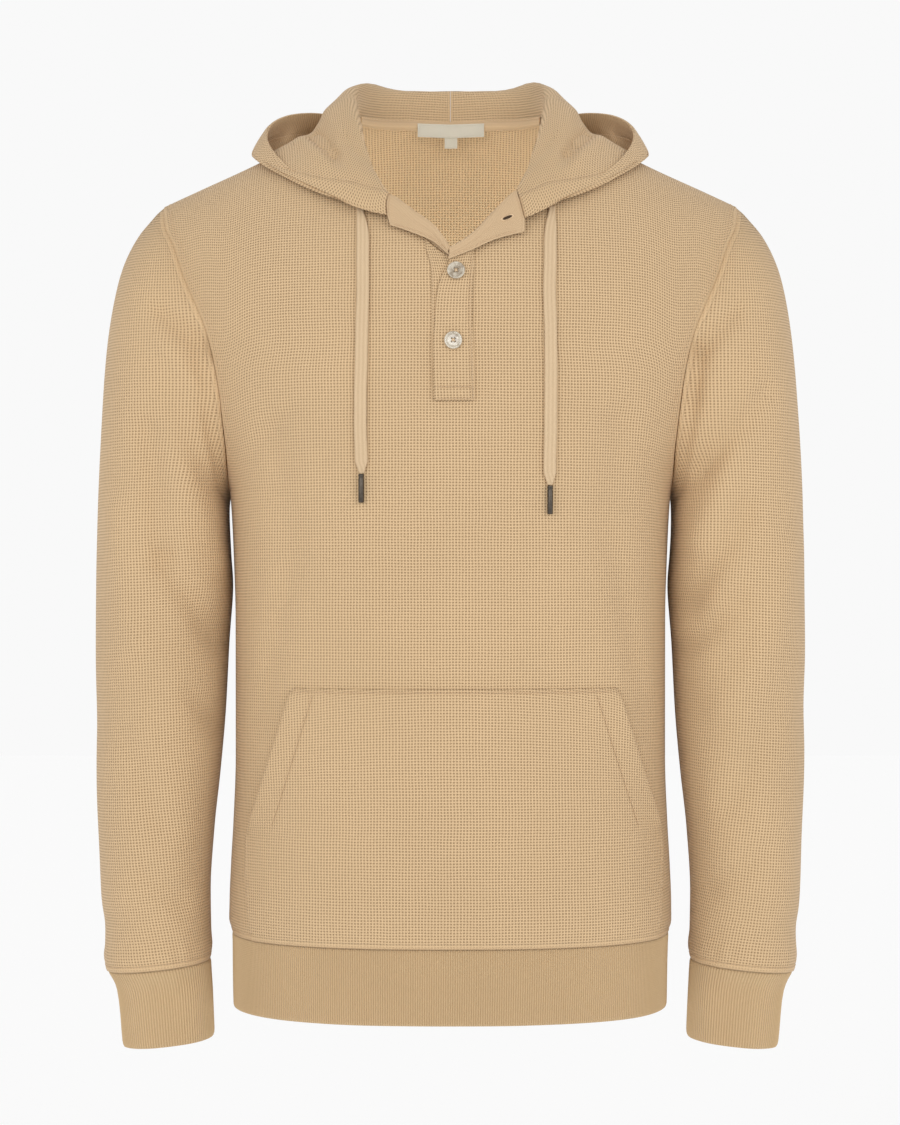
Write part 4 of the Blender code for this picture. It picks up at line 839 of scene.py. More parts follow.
def thread_piece(name, threads, thick, resolution=1, meshed=False):
    """Lengths of thread, each a list of points, as one round curve or its mesh."""
    curve = bpy.data.curves.new(name, "CURVE")
    curve.dimensions = "3D"
    curve.bevel_depth = thick / 2 * MM
    curve.bevel_resolution = resolution
    curve.use_fill_caps = True
    for points in threads:
        spline = curve.splines.new("POLY")
        spline.points.add(len(points) - 1)
        for spot, point in zip(spline.points, points):
            spot.co = (*[c * MM for c in point], 1.0)
    piece = bpy.data.objects.new(name, curve)
    bpy.context.scene.collection.objects.link(piece)
    if meshed:
        only(piece)
        bpy.ops.object.convert(target="MESH")
        bpy.ops.object.shade_smooth()
    dress(piece, THREAD)


def sew(name, lines):
    """Rows of stitches along lines of (point, normal), each stitch a short thread that dips at its ends."""
    threads = []
    for points, normals in lines:
        points, normals = np.asarray(points, dtype=float), np.asarray(normals, dtype=float)
        run = np.concatenate(([0.0], np.cumsum(np.linalg.norm(np.diff(points, axis=0), axis=1))))
        count = int(run[-1] // (STITCH + STITCH_GAP))
        for n in range(count):
            start = n * (STITCH + STITCH_GAP)
            stitch = []
            for share, lift in ((0.0, -STITCH_DIP), (0.5, STITCH_RISE), (1.0, -STITCH_DIP)):
                at = start + STITCH * share
                here, out = [[np.interp(at, run, p[:, axis]) for axis in range(3)] for p in (points, normals)]
                stitch.append([h + lift * o for h, o in zip(here, out)])
            threads.append(stitch)
    thread_piece(name, threads, THREAD_THICK, meshed=True)


# --- Front and back ---
WAIST_TUCK = (0.0, 0.8, 1.6, 2.6, 3.5, 4.4, 5.6, 7.5, 10.0, 14.0, 19.0)      # fine rows over the waist seam
EDGE_TUCK = (0.0, 0.7, 1.5, 2.6, 4.0, 5.6, 7.0, 8.4, 10.5, 13.5, 17.5)       # fine columns beside an edge
HALF_ROW_LENGTH = 245.0
WAIST_STITCH, ARMHOLE_STITCH = 4.2, 7.0
ROW_HEIGHT = (ARMPIT_Z - WAIST_SEAM_Z) / BODY_ROWS


def panel_rows():
    rows = [d / ROW_HEIGHT for d in WAIST_TUCK]
    rows += list(np.linspace(25.0 / ROW_HEIGHT, BODY_ROWS, 58))
    rows += list(np.linspace(BODY_ROWS, BODY_ROWS + ARMHOLE_ROWS - 0.25, 50))[1:]
    rows += [BODY_ROWS + ARMHOLE_ROWS - d for d in (0.16, 0.09, 0.04, 0.0)]
    return rows


def panel_shares(side):
    _, neck_share = neck_of(side)
    edge = [1 - d / HALF_ROW_LENGTH for d in reversed(EDGE_TUCK)]
    if side < 0:
        tab = TAB_COLUMNS / (TAB_COLUMNS + HOOD_FRONT_COLUMNS + SHOULDER_COLUMNS)
        inner = [*np.linspace(0, tab, 15), *np.linspace(tab, neck_share, 15)[1:]]
    else:
        inner = list(np.linspace(0, neck_share, 26))
    return inner + list(np.linspace(neck_share, edge[0], 17))[1:] + edge[1:]


LAID_X, LAID_Z = np.arange(0.0, 251.0, 5.0), np.arange(WAIST_SEAM_Z, 51.0, 3.0)


def laid_lengths(side):
    """How far up the cloth lies at each LAID_Z and LAID_X, and how far out above the chest's turn."""
    turn = CHEST_TURN_Z if side < 0 else BACK_TURN_Z
    tops = [SHOULDER.at(x, "top") - 0.5 for x in LAID_X]
    depth = np.array([[abs(body_y(x, min(z, top), side)) for x, top in zip(LAID_X, tops)] for z in LAID_Z])
    steep = np.where(LAID_Z[1:, None] > -190.0, 4.0, 1.0)
    rise = np.clip(np.abs(np.diff(depth, axis=0)) / 3.0, 0.0, steep)
    for _ in range(6):
        rise[:, 1:-1] = (rise[:, :-2] + 2 * rise[:, 1:-1] + rise[:, 2:]) / 4
    up = np.concatenate((np.zeros((1, len(LAID_X))), np.cumsum(3.0 * np.sqrt(1 + rise**2), axis=0)))
    level = abs(body_y(150.0, turn, side)) / abs(body_y(0.0, turn, side))
    out = LAID_X + 40.0 * (1 - level) * (LAID_X / 150.0) ** 4
    return up, out


def read_laid(table, x, z):
    """A table over LAID_Z and LAID_X, read between its places."""
    i = np.clip(x / 5.0, 0, len(LAID_X) - 1.001)
    j = np.clip((z - WAIST_SEAM_Z) / 3.0, 0, len(LAID_Z) - 1.001)
    i0, j0 = i.astype(int), j.astype(int)
    fi, fj = i - i0, j - j0
    low = table[j0, i0] * (1 - fi) + table[j0, i0 + 1] * fi
    high = table[j0 + 1, i0] * (1 - fi) + table[j0 + 1, i0 + 1] * fi
    return low * (1 - fj) + high * fj


def make_panel(name, side):
    rows, shares = panel_rows(), panel_shares(side)
    grid = []
    for row in rows:
        left = half_row(row, side, shares)
        right = left[::-1][:-1] * MIRROR
        line = np.concatenate((right, left))
        for point in line:
            point[1] += side * panel_fold(point[0], point[2], side)
        grid.append(line if side < 0 else line[::-1])
    outer = np.array(grid)
    middle = len(shares) - 1
    normals = normals_of(outer)
    across = lengths_along(outer, 1)
    across -= across[:, [middle]]
    up_table, out_row = laid_lengths(side)
    up = read_laid(up_table, np.abs(outer[..., 0]), outer[..., 2])
    turn = CHEST_TURN_Z if side < 0 else BACK_TURN_Z
    raised = eased(np.clip((outer[..., 2] - turn) / 50.0, 0.0, 1.0))
    out = np.sign(across) * np.interp(np.abs(outer[..., 0]), LAID_X, out_row)
    from_edge = np.minimum(across - across[:, [0]], across[:, [-1]] - across)
    height = np.array(rows)[:, None] * np.ones_like(across)
    from_waist = height * ROW_HEIGHT
    from_top = np.maximum(0.0, lengths_along(outer, 0)[-1] - lengths_along(outer, 0))
    above_armpit = np.clip((height - BODY_ROWS) * 4, 0, 1)
    sink = bevelled(from_edge, 0.3, 1.0) + bevelled(from_waist, 0.5, 1.2) + bevelled(from_top, 0.5, 1.2)
    flange = 0.2 * hill(from_edge, 3.0, 1.8)
    blouse = 0.8 * hill(from_waist, 10.0, 6.0) - 0.35 * hill(from_waist, WAIST_STITCH, 0.8)
    gather = np.array([[noise.noise(Vector((x / 9.0, side * 5.0, 0.0))) for x in line] for line in across])
    blouse = blouse + gather * 0.8 * hill(from_waist, 9.0, 6.0)
    shaped = outer + normals * (sink + flange * above_armpit + blouse)[..., None]
    shaped[0, :, 2] = WAIST_SEAM_Z + 0.15
    side_y = shaped[..., 1] * side
    shaped[..., 1] = np.where(side_y < 0.1, side * 0.1, shaped[..., 1])
    mark = np.minimum(np.maximum(seam_mark(from_edge), 1.1), seam_mark(from_waist, WAIST_STITCH))
    mark = np.minimum(mark, seam_mark(from_top))
    uv = np.stack((across * (1 - raised) + out * raised, up), axis=-1)
    inner = outer - normals * CLOTH
    inner_y = inner[..., 1] * side
    inner[..., 1] = np.where(inner_y < 0.1, side * 0.1, inner[..., 1])
    cloth_sheet(name, shaped, inner, uv, mark, WAFFLE_CLOTH)
    armhole = []
    for row in rows:
        if row >= BODY_ROWS + 0.3:
            left = half_row(row, side, shares)
            length = float(np.linalg.norm(np.diff(left, axis=0), axis=1).sum())
            armhole.append(spread(left[::-1], [ARMHOLE_STITCH / length])[0])
    armhole = np.array(armhole)
    out = np.gradient(armhole, axis=0)
    out = np.cross(np.array([1.0, 0.0, 0.0]) * side * -1, out)
    out /= np.linalg.norm(out, axis=1, keepdims=True)
    armhole = armhole + out * THREAD_LIFT
    return [(armhole, out), (armhole * MIRROR, out * MIRROR)]


back_lines = make_panel("back_panel_cloth", 1)
front_lines = make_panel("front_panel_cloth", -1)


def ring_at(z, lift, count=241):
    """A level ring of points and normals round the body, starting at the wearer's left side."""
    half = TORSO.at(z, "half")
    front_half = spread(level_section(z, -1, half), np.linspace(1, 0, 200))
    back_half = spread(level_section(z, 1, half), np.linspace(0, 1, 200))
    loop = np.concatenate((front_half, front_half[::-1][1:] * MIRROR,
                           back_half[::-1][1:] * MIRROR, back_half[1:]))
    points = spread(loop, np.linspace(0, 1, count))
    line = np.roll(points[:-1], -1, axis=0) - np.roll(points[:-1], 1, axis=0)
    line = np.concatenate((line, line[:1]))
    normals = np.stack((-line[:, 1], line[:, 0], np.zeros(count)), axis=-1)
    normals /= np.linalg.norm(normals, axis=1, keepdims=True)
    if (normals[:1] * points[:1]).sum() < 0:
        normals = -normals
    return points + normals * lift, normals


waist_line = ring_at(WAIST_SEAM_Z + WAIST_STITCH, THREAD_LIFT)


# --- Sleeves ---
def tube_line(table, step, turns):
    """Points round a sleeve or cuff at the given turns (-1 to 1)."""
    out = Vector((table.at(step, "out_x"), 0, table.at(step, "out_z")))
    inn = Vector((table.at(step, "in_x"), 0, table.at(step, "in_z")))
    centre, reach = (out + inn) / 2, (out - inn) / 2
    middle = table.at(step, "middle")
    power = 2 / 2.25
    points = np.zeros((len(turns), 3))
    for side in (-1, 1):
        deep = table.at(step, "front" if side > 0 else "back")
        line = []
        for n in range(61):
            angle = math.pi * n / 60
            lean, depth = math.cos(angle), math.sin(angle)
            point = centre + reach * math.copysign(abs(lean) ** power, lean)
            point.y = -math.copysign(deep * depth**power, side) + middle
            line.append(point)
        wanted = turns >= 0 if side > 0 else turns < 0
        points[wanted] = spread(line, np.abs(turns[wanted]))
    return points


def armhole_ring(turns):
    points = np.zeros((len(turns), 3))
    for side in (-1, 1):
        wanted = turns > 0 if side < 0 else turns <= 0
        points[wanted] = spread(ARMHOLE_LINES[side], np.abs(turns[wanted]))
    return points


def sleeve_uv(outer, across, from_cuff, steps):
    """The knit runs level round the upper arm as on a cylinder, and along the seamed tube below it."""
    half, deep = 51.5, 66.0
    angle = np.linspace(-math.pi, math.pi, 721)
    pieces = np.hypot(half * np.diff(np.cos(angle)), deep * np.diff(np.sin(angle)))
    way = np.concatenate(([0.0], np.cumsum(pieces)))
    way -= way[360]
    turned = np.arctan2(-(outer[..., 1] + 2.0) / deep, (outer[..., 0] - 225.0) / half)
    turned[:, -1] = np.abs(turned[:, -1])
    turned[:, 0] = -np.abs(turned[:, 0])
    low = eased(np.clip((steps - 3.0) / 3.5, 0.0, 1.0))[:, None]
    level = outer[..., 2] - outer[-1, :, 2].mean()
    return np.stack((np.interp(turned, angle, way) * (1 - low) + across * low,
                     level * (1 - low) + from_cuff * low), axis=-1)


SLEEVE_COLUMNS = 84
SLEEVE_STEPS = 13
CUFF_STITCH = 4.4


def make_sleeve(name, left):
    turns = np.linspace(-1, 1, SLEEVE_COLUMNS + 1)
    steps = [0.0, 0.02, 0.045, 0.08, 0.12, 0.18]
    steps += list(np.linspace(0.26, SLEEVE_STEPS - 0.6, 96))
    steps += [SLEEVE_STEPS - d for d in (0.42, 0.32, 0.25, 0.21, 0.17, 0.12, 0.07, 0.03, 0.0)]
    seam, start = armhole_ring(turns), tube_line(SLEEVE, 0.0, turns)
    outer = np.array([tube_line(SLEEVE, s, turns) + (seam - start) * math.exp(-1.1 * s) for s in steps])
    normals = normals_of(outer)
    down = lengths_along(outer, 0)
    across = lengths_along(outer, 1)
    across -= across[:, [SLEEVE_COLUMNS // 2]]
    scale = 45.0
    shape = np.zeros(outer.shape[:2])
    for j, step in enumerate(steps):
        fade = min(1.0, step / 2) * min(1.0, (SLEEVE_STEPS - step) / 1.5)
        for i, turn in enumerate(turns):
            total = 0.0
            for s0, t0, s1, t1, wide, deep in SLEEVE_FOLDS[left]:
                # the folds' turns count the other way round the arm than these
                total += deep * crease(-turn * 3 * scale, step * scale, t0 * 3 * scale, s0 * scale,
                                       t1 * 3 * scale, s1 * scale, 2 * wide)
            total += 1.3 * noise.noise(Vector((turn * 2.2, step * 0.55, 11.0 if left else 17.0)))
            inner_side = min(1.0, max(0.0, abs(turn) - 0.72) / 0.28)
            shape[j, i] = total * fade * (1 - inner_side)
    from_cuff = down[-1] - down
    shape = shape + front_creases(outer, normals, FRONT_FOLDS[left])
    uv = sleeve_uv(outer, across, from_cuff, np.array(steps))
    from_under = np.minimum(across - across[:, [0]], across[:, [-1]] - across)
    place = 2.0 if left else 8.0
    gather = np.array([[noise.noise(Vector((x / 7.0, 4.0, place))) for x in line] for line in across])
    blouse = (0.9 + gather * 1.2) * hill(from_cuff, 11.0, 7.0)
    sink = bevelled(down, 0.2, 1.0) + bevelled(from_cuff, 0.6, 1.3) + bevelled(from_under, 0.5, 1.2)
    stitched = -0.3 * hill(from_cuff, CUFF_STITCH, 0.8)
    low_front = np.clip((-140.0 - outer[..., 2]) / 40.0, 0.0, 1.0) * np.clip(-normals[..., 1] * 2.0, 0.0, 1.0)
    ease = 0.5 * hill(down, 7.0, 5.0) - 3.0 * low_front * hill(down, 9.0, 8.0)
    shaped = outer + normals * (shape + blouse + sink + stitched + ease)[..., None]
    mark = np.minimum(np.maximum(seam_mark(down), 1.1), seam_mark(from_cuff, CUFF_STITCH))
    mark = np.minimum(mark, seam_mark(from_under))
    inner = shaped - normals * CLOTH
    if not left:
        shaped, inner, uv, mark = right_from_left(shaped, inner, uv, mark)
    cloth_sheet(name, shaped, inner, uv, mark, WAFFLE_CLOTH)
    at = int(np.argmin(np.abs(from_cuff[:, 0] - CUFF_STITCH)))
    direction = normals_of(shaped)[at]
    return [(shaped[at] + direction * 0.2, direction)]


left_cuff_line = make_sleeve("sleeve_left_cloth", True)
right_cuff_line = make_sleeve("sleeve_right_cloth", False)


# --- Ribbed cuffs and waistband ---
RIB_POINTS = 4


def ribbed(ring, normals):
    """A ring's points, pushed out on each rib and in between them."""
    phase = np.arange(len(ring)) * (2 * math.pi / RIB_POINTS)
    return ring + normals * (-RIB_HEIGHT / 2 + RIB_HEIGHT / 2 * np.cos(phase))[:, None]


def band_uv(ribs, pitch, heights):
    """The rib cloth's place along and up a band."""
    across = np.arange(ribs * RIB_POINTS + 1) / RIB_POINTS * pitch
    return np.stack(np.broadcast_arrays(across[None, :], np.asarray(heights)[:, None]), axis=-1)


def plane_normals(ring):
    """Outward normals of a closed ring in its own plane."""
    line = np.roll(ring[:-1], -1, axis=0) - np.roll(ring[:-1], 1, axis=0)
    line = np.concatenate((line, line[:1]))
    out = ring - ring[:-1].mean(axis=0)
    out -= line * ((out * line).sum(axis=1) / (line * line).sum(axis=1))[:, None]
    return out / np.linalg.norm(out, axis=1, keepdims=True)


CUFF_ROWS = (0.0, 0.07, 0.16, 0.3, 0.5, 0.75, 1.0, 1.25, 1.5, 1.75, 1.9, 1.96, 2.0)
CUFF_DROPS = (0.9, 0.3, 0.0, 0.0, 0.0, 0.0, 0.0, 0.0, 0.0, 0.0, 0.1, 0.4, 1.1)


def make_cuff(name, left):
    turns = np.linspace(-1, 1, CUFF_RIBS * RIB_POINTS + 1)
    outer, inner, heights = [], [], []
    for step, drop in zip(CUFF_ROWS, CUFF_DROPS):
        ring = tube_line(CUFF, step, turns)
        normals = plane_normals(ring)
        wave = np.array([noise.noise(Vector((t * 6.0, step * 1.5, 5.0 if left else 9.0))) for t in turns])
        wave[-1] = wave[0]
        soft = 0.7 * wave * min(1.0, step) * np.clip((1 - np.abs(turns)) * 6, 0, 1)
        outer.append(ribbed(ring, normals) + normals * (soft - drop)[:, None])
        inner.append(ring + normals * (soft - BAND_WALL)[:, None])
        heights.append(-step * 30.0)
    outer, inner = np.array(outer), np.array(inner)
    uv = band_uv(CUFF_RIBS, CUFF_RIB_PITCH, heights)
    mark = np.full(outer.shape[:2], 12.0)
    mark[0] = 2.0
    if not left:
        outer, inner, uv, mark = right_from_left(outer, inner, uv, mark)
    cloth_sheet(name, outer, inner, uv, mark, CUFF_RIB_CLOTH)


make_cuff("cuff_left_cloth", True)
make_cuff("cuff_right_cloth", False)

WAIST_ROWS = (0.15, 1.0, 2.6, 8.0, 22.0, 38.0, 50.0, 55.5, 57.0, 57.5)
WAIST_DROPS = (0.6, 0.2, 0.0, 0.0, 0.0, 0.0, 0.0, 0.1, 0.5, 1.2)


def make_waistband():
    count = WAIST_RIBS * RIB_POINTS + 1
    outer, inner = [], []
    for down, drop in zip(WAIST_ROWS, WAIST_DROPS):
        ring, normals = ring_at(WAIST_SEAM_Z - down, 0.0, count)
        angle = np.linspace(0, 2 * math.pi, count)
        wave = np.array([noise.noise(Vector((3 * math.cos(a), 3 * math.sin(a), down / 60))) for a in angle])
        soft = 0.9 * wave * min(1.0, down / 15)
        outer.append(ribbed(ring, normals) + normals * (soft - drop)[:, None])
        inner.append(ring + normals * (soft - BAND_WALL)[:, None])
    outer, inner = np.array(outer)[::-1], np.array(inner)[::-1]
    uv = band_uv(WAIST_RIBS, WAIST_RIB_PITCH, [HEM_Z + d for d in reversed(WAIST_ROWS)])
    mark = np.full(outer.shape[:2], 12.0)
    mark[-1] = 2.0
    flip = normals_of(outer[:, :60])[4, 5] @ (outer[4, 5] * (1, 1, 0)) < 0
    if flip:
        outer, inner, uv, mark = outer[:, ::-1], inner[:, ::-1], uv[:, ::-1], mark[:, ::-1]
    cloth_sheet("waistband_cloth", outer, inner, uv, mark, WAIST_RIB_CLOTH)


make_waistband()


# --- Hood ---
NECK_KNOTS = HOOD_FRONT_COLUMNS + HOOD_BACK_COLUMNS
HOOD_ROWS = 14
HOOD_SPLIT = 2
HOOD_EASING = 2
HOOD_CLEAR = 3.4
HOOD_FINE = 6             # fine rows and columns for each of the pattern's
NECK_MIDDLE = Vector((0.0, -10.0, 0.0))
CASING = 18.0             # width of the drawstring's casing


def neck_seam(place):
    """The left half of the neck seam: place 0 at the hood's front end, 3 the shoulder, 7 the centre back."""
    if place <= HOOD_FRONT_COLUMNS:
        share = (TAB_COLUMNS + place) / (TAB_COLUMNS + HOOD_FRONT_COLUMNS + SHOULDER_COLUMNS)
        x = NECK_FRONT.at(share / neck_of(-1)[1], "x")
        z = NECK_FRONT.at(share / neck_of(-1)[1], "z")
        return Vector((x, body_y(x, z, -1) - panel_fold(x, z, -1), z))
    share = (NECK_KNOTS - place) / HOOD_BACK_COLUMNS
    x, z = NECK_BACK.at(share, "x"), NECK_BACK.at(share, "z")
    return Vector((x, body_y(x, z, 1) + panel_fold(x, z, 1), z))


def smooth_line(knots, share):
    """A point on the smooth (Catmull-Rom) line through the knots, at a share of their number."""
    spot = share * (len(knots) - 1)
    k = min(int(spot), len(knots) - 2)
    t = spot - k
    before = knots[k - 1] if k else knots[0] * 2 - knots[1]
    a, b = knots[k], knots[k + 1]
    after = knots[k + 2] if k + 2 < len(knots) else b * 2 - a
    return 0.5 * (
        2 * a
        + (b - before) * t
        + (2 * before - 5 * a + 4 * b - after) * t**2
        + (3 * a - before - 3 * b + after) * t**3
    )


def refined(grid, fine):
    """A grid with fine smooth steps for each of its own, both ways."""
    rows, columns = grid.shape[:2]
    up, across = (rows - 1) * fine, (columns - 1) * fine
    wide = np.array([[smooth_line(line, n / across) for n in range(across + 1)] for line in grid])
    tall = [[smooth_line(wide[:, i], n / up) for n in range(up + 1)] for i in range(across + 1)]
    return np.array(tall).transpose(1, 0, 2)


def hood_pattern(table):
    """The hood's outside on the pattern's own rows and columns, from the neck seam to the edge."""
    sections = []
    for n in range(NECK_KNOTS * HOOD_SPLIT + 1):
        place = n / HOOD_SPLIT
        knots = [neck_seam(place)]
        for part in HOOD_PLACES:
            knots.append(Vector([table.at(place, f"{part}_{axis}") for axis in "xyz"]))
        knots.insert(1, knots[0].lerp(knots[1], 0.5))
        fine = [smooth_line(knots, k / 120) for k in range(121)]
        sections.append(spread(fine, np.linspace(0, 1, HOOD_ROWS + 1)))
    grid = np.array(sections).transpose(1, 0, 2)
    for row in grid[1:]:
        for _ in range(HOOD_EASING):
            row[1:-1] = row[:-2] * 0.25 + row[1:-1] * 0.5 + row[2:] * 0.25
    return grid


def clear_of_body(grid, gap):
    """The hood's points past the neck seam, kept clear of the shoulders under them."""
    for row in grid[1:]:
        for n, start in enumerate(grid[0]):
            point = Vector(row[n])
            if (point - NECK_MIDDLE).xy.length > (Vector(start) - NECK_MIDDLE).xy.length + gap:
                row[n] = lifted_off_body(point, gap)
    return grid


def make_hood(name, left):
    outer = refined(clear_of_body(hood_pattern(HOODS[left]), HOOD_CLEAR), HOOD_FINE)
    outer = clear_of_body(outer, HOOD_CLEAR - 1.2)
    places = np.linspace(0, NECK_KNOTS, outer.shape[1])
    outer[0] = [neck_seam(p) for p in places]
    normals = normals_of(outer)
    normals[:, -1, 0] = 0.0
    normals /= np.linalg.norm(normals, axis=-1, keepdims=True)
    up = lengths_along(outer, 0)
    shares = up / up[-1]
    from_edge = up[-1] - up
    across = lengths_along(outer, 1)
    across -= across[:, [-1]]
    mean_across = across[outer.shape[0] // 3]
    from_centre = across[:, [-1]] - across
    shape = np.zeros(outer.shape[:2])
    for j in range(outer.shape[0]):
        for i, place in enumerate(places):
            total = 0.9 * noise.noise(Vector((place * 0.9, shares[j, i] * 3.0, 21.0 if left else 27.0)))
            for p0, s0, p1, s1, wide, deep in HOOD_FOLDS:
                total += deep * crease(place, shares[j, i] * 4, p0, s0 * 4, p1, s1 * 4, wide * 4)
            shape[j, i] = total * min(1.0, shares[j, i] * 8) * min(1.0, place / 1.2 + 0.15)
    shape += front_creases(outer, -normals, HOOD_FRONT_FOLDS)      # the lying hood shows its inside
    shape *= np.clip(from_centre / 12, 0.0, 1.0)
    casing = 0.35 * np.clip((CASING - from_edge) / 4, 0, 1) - 0.45 * hill(from_edge, CASING, 1.1)
    sink = bevelled(up, 0.9, 1.6) + bevelled(from_centre, 0.8, 1.8) + bevelled(from_edge, 1.0, 1.6)
    shaped = outer + normals * (casing + sink - shape)[..., None]
    thick = CLOTH + 1.5 * np.clip((CASING - from_edge) / 3, 0, 1) - 1.2 * hill(from_edge, 0.0, 1.5)
    inner = outer - normals * (shape + thick)[..., None]
    shaped[:, -1, 0] = inner[:, -1, 0] = 0.1
    mark = np.minimum(seam_mark(up), groove_mark(from_edge, CASING))
    mark = np.minimum(mark, seam_mark(from_centre))
    uv = np.stack((mean_across[None, :] * np.ones_like(up), up), axis=-1)
    line, out = (line_at(grid, from_edge, CASING, range(2, len(places))) for grid in (shaped, normals))
    if not left:
        shaped, inner, uv, mark = right_from_left(shaped, inner, uv, mark)
        line, out = line * MIRROR, out * MIRROR
    cloth_sheet(name, shaped, inner, uv, mark, WAFFLE_CLOTH)
    # the casing is stitched through, so the thread shows on both sides
    return [(line + out * 0.3, out), (line - out * (CLOTH + 1.1), -out)], outer


hood_left_lines, hood_left_grid = make_hood("hood_left_cloth", True)
hood_right_lines, hood_right_grid = make_hood("hood_right_cloth", False)


# --- Placket, facings and pocket ---
def front_sheet(name, spots, low, high, mark):
    """A waffle-knit piece laid on the front: spots is a grid of (x, z), low and high its sides' lifts."""
    rows, columns = spots.shape[:2]
    outer, inner = (
        np.array([[on_front(*spots[j, i], lift[j, i]) for i in range(columns)] for j in range(rows)])
        for lift in (high, low)
    )
    across, up = lengths_along(outer, 1), lengths_along(outer, 0)
    uv = np.stack((across - across[:, [columns // 2]], up), axis=-1)
    cloth_sheet(name, outer, inner, uv, mark, WAFFLE_CLOTH)


BAND_THICK = 1.3
UNDERLAP_LIFT = 0.35
OVERLAP_LIFT = 2.0
SIDE_STITCH, FOOT_STITCH, BOX_STITCH = 1.5, 1.4, 10.0       # in from the placket's side, up from its foot


def make_band(name, table, lift, free_right):
    """A placket band, cut along the neck opening at its top. Its free edge is a fold, a little raised."""
    columns = 26
    low_z, high_z = table.rows[0][0], table.rows[-1][0]
    foot = [0.0, 0.5, 1.0, 1.4, 1.8, 2.4, 3.5, 5.0, 7.0, 8.6, 9.4, 10.0, 10.6, 11.4, 13.0]
    spots = np.zeros((len(foot) + 60, columns + 1, 2))
    for i in range(columns + 1):
        share = 0.5 - 0.5 * math.cos(math.pi * i / columns)
        top_x = table.at(high_z, "right") * (1 - share) + table.at(high_z, "left") * share
        neck_z = NECK_FRONT.at(abs(top_x) / 13.0 * 0.167, "z") - 2.0
        for j, up in enumerate([*foot, *np.linspace(13.0, neck_z - low_z, 61)[1:]]):
            z = low_z + up
            spots[j, i] = (table.at(z, "right") * (1 - share) + table.at(z, "left") * share, z)
    from_right = spots[..., 0] - spots[:, [0], 0]
    from_left = spots[:, [-1], 0] - spots[..., 0]
    from_foot = spots[..., 1] - spots[[0], :, 1]
    drop = 0.9 * hill(from_right, 0.0, 0.9)
    drop += 0.8 * (hill(from_left, 0.0, 0.9) + hill(from_foot, 0.0, 0.9))
    flat = (lift - UNDERLAP_LIFT) * np.exp(-((from_left / 3.5) ** 4))
    flat = np.maximum(flat, 0.55 * (lift - UNDERLAP_LIFT) * hill(from_foot, 0.0, 1.3))
    mark = np.minimum(groove_mark(from_left, SIDE_STITCH), groove_mark(from_foot, FOOT_STITCH))
    high = lift + BAND_THICK - drop * 0.8 - flat
    if free_right:
        high += 0.9 * hill(from_right, 0.0, 4.0) - 0.56 * hill(from_foot, BOX_STITCH, 0.8)
        mark = np.minimum(mark, groove_mark(from_foot, BOX_STITCH))
    front_sheet(name, spots, lift - flat, high, mark)


make_band("placket_underlap_cloth", UNDERLAP, UNDERLAP_LIFT, False)
make_band("placket_overlap_cloth", OVERLAP, OVERLAP_LIFT, True)


def laid_line(spots, lift):
    """A line of points and normals on the front, for stitches."""
    points = np.array([on_front(x, z, lift) for x, z in spots])
    out = np.array([on_front(x, z, lift + 1.0) for x, z in spots]) - points
    return points, out


def upright_line(table, edge, aside, low, high, count, lift):
    """A line of stitches up a laid piece, so far to the wearer's left of one of its edges."""
    return laid_line([(table.at(z, edge) + aside, z) for z in np.linspace(low, high, count)], lift)


STITCH_LIFT = BAND_THICK + 0.05
placket_lines = [
    upright_line(OVERLAP, "left", -SIDE_STITCH, -216.0, -108.0, 60, OVERLAP_LIFT + STITCH_LIFT),
    *[laid_line([(x, z) for x in np.linspace(-11.0, 17.2, 12)], OVERLAP_LIFT + STITCH_LIFT)
      for z in (-216.2, -207.5)],
    upright_line(OVERLAP, "right", SIDE_STITCH, -216.0, -207.0, 6, OVERLAP_LIFT + STITCH_LIFT),
    upright_line(UNDERLAP, "right", 1.3, -214.0, -106.0, 60, UNDERLAP_LIFT + STITCH_LIFT),
]

FACING_THICK = 1.5
FACING_STITCH = 1.9       # in from the facing's edge
HOLE_UP, HOLE_ALONG = 0.66, 0.8       # the buttonhole's place, in shares of the facing


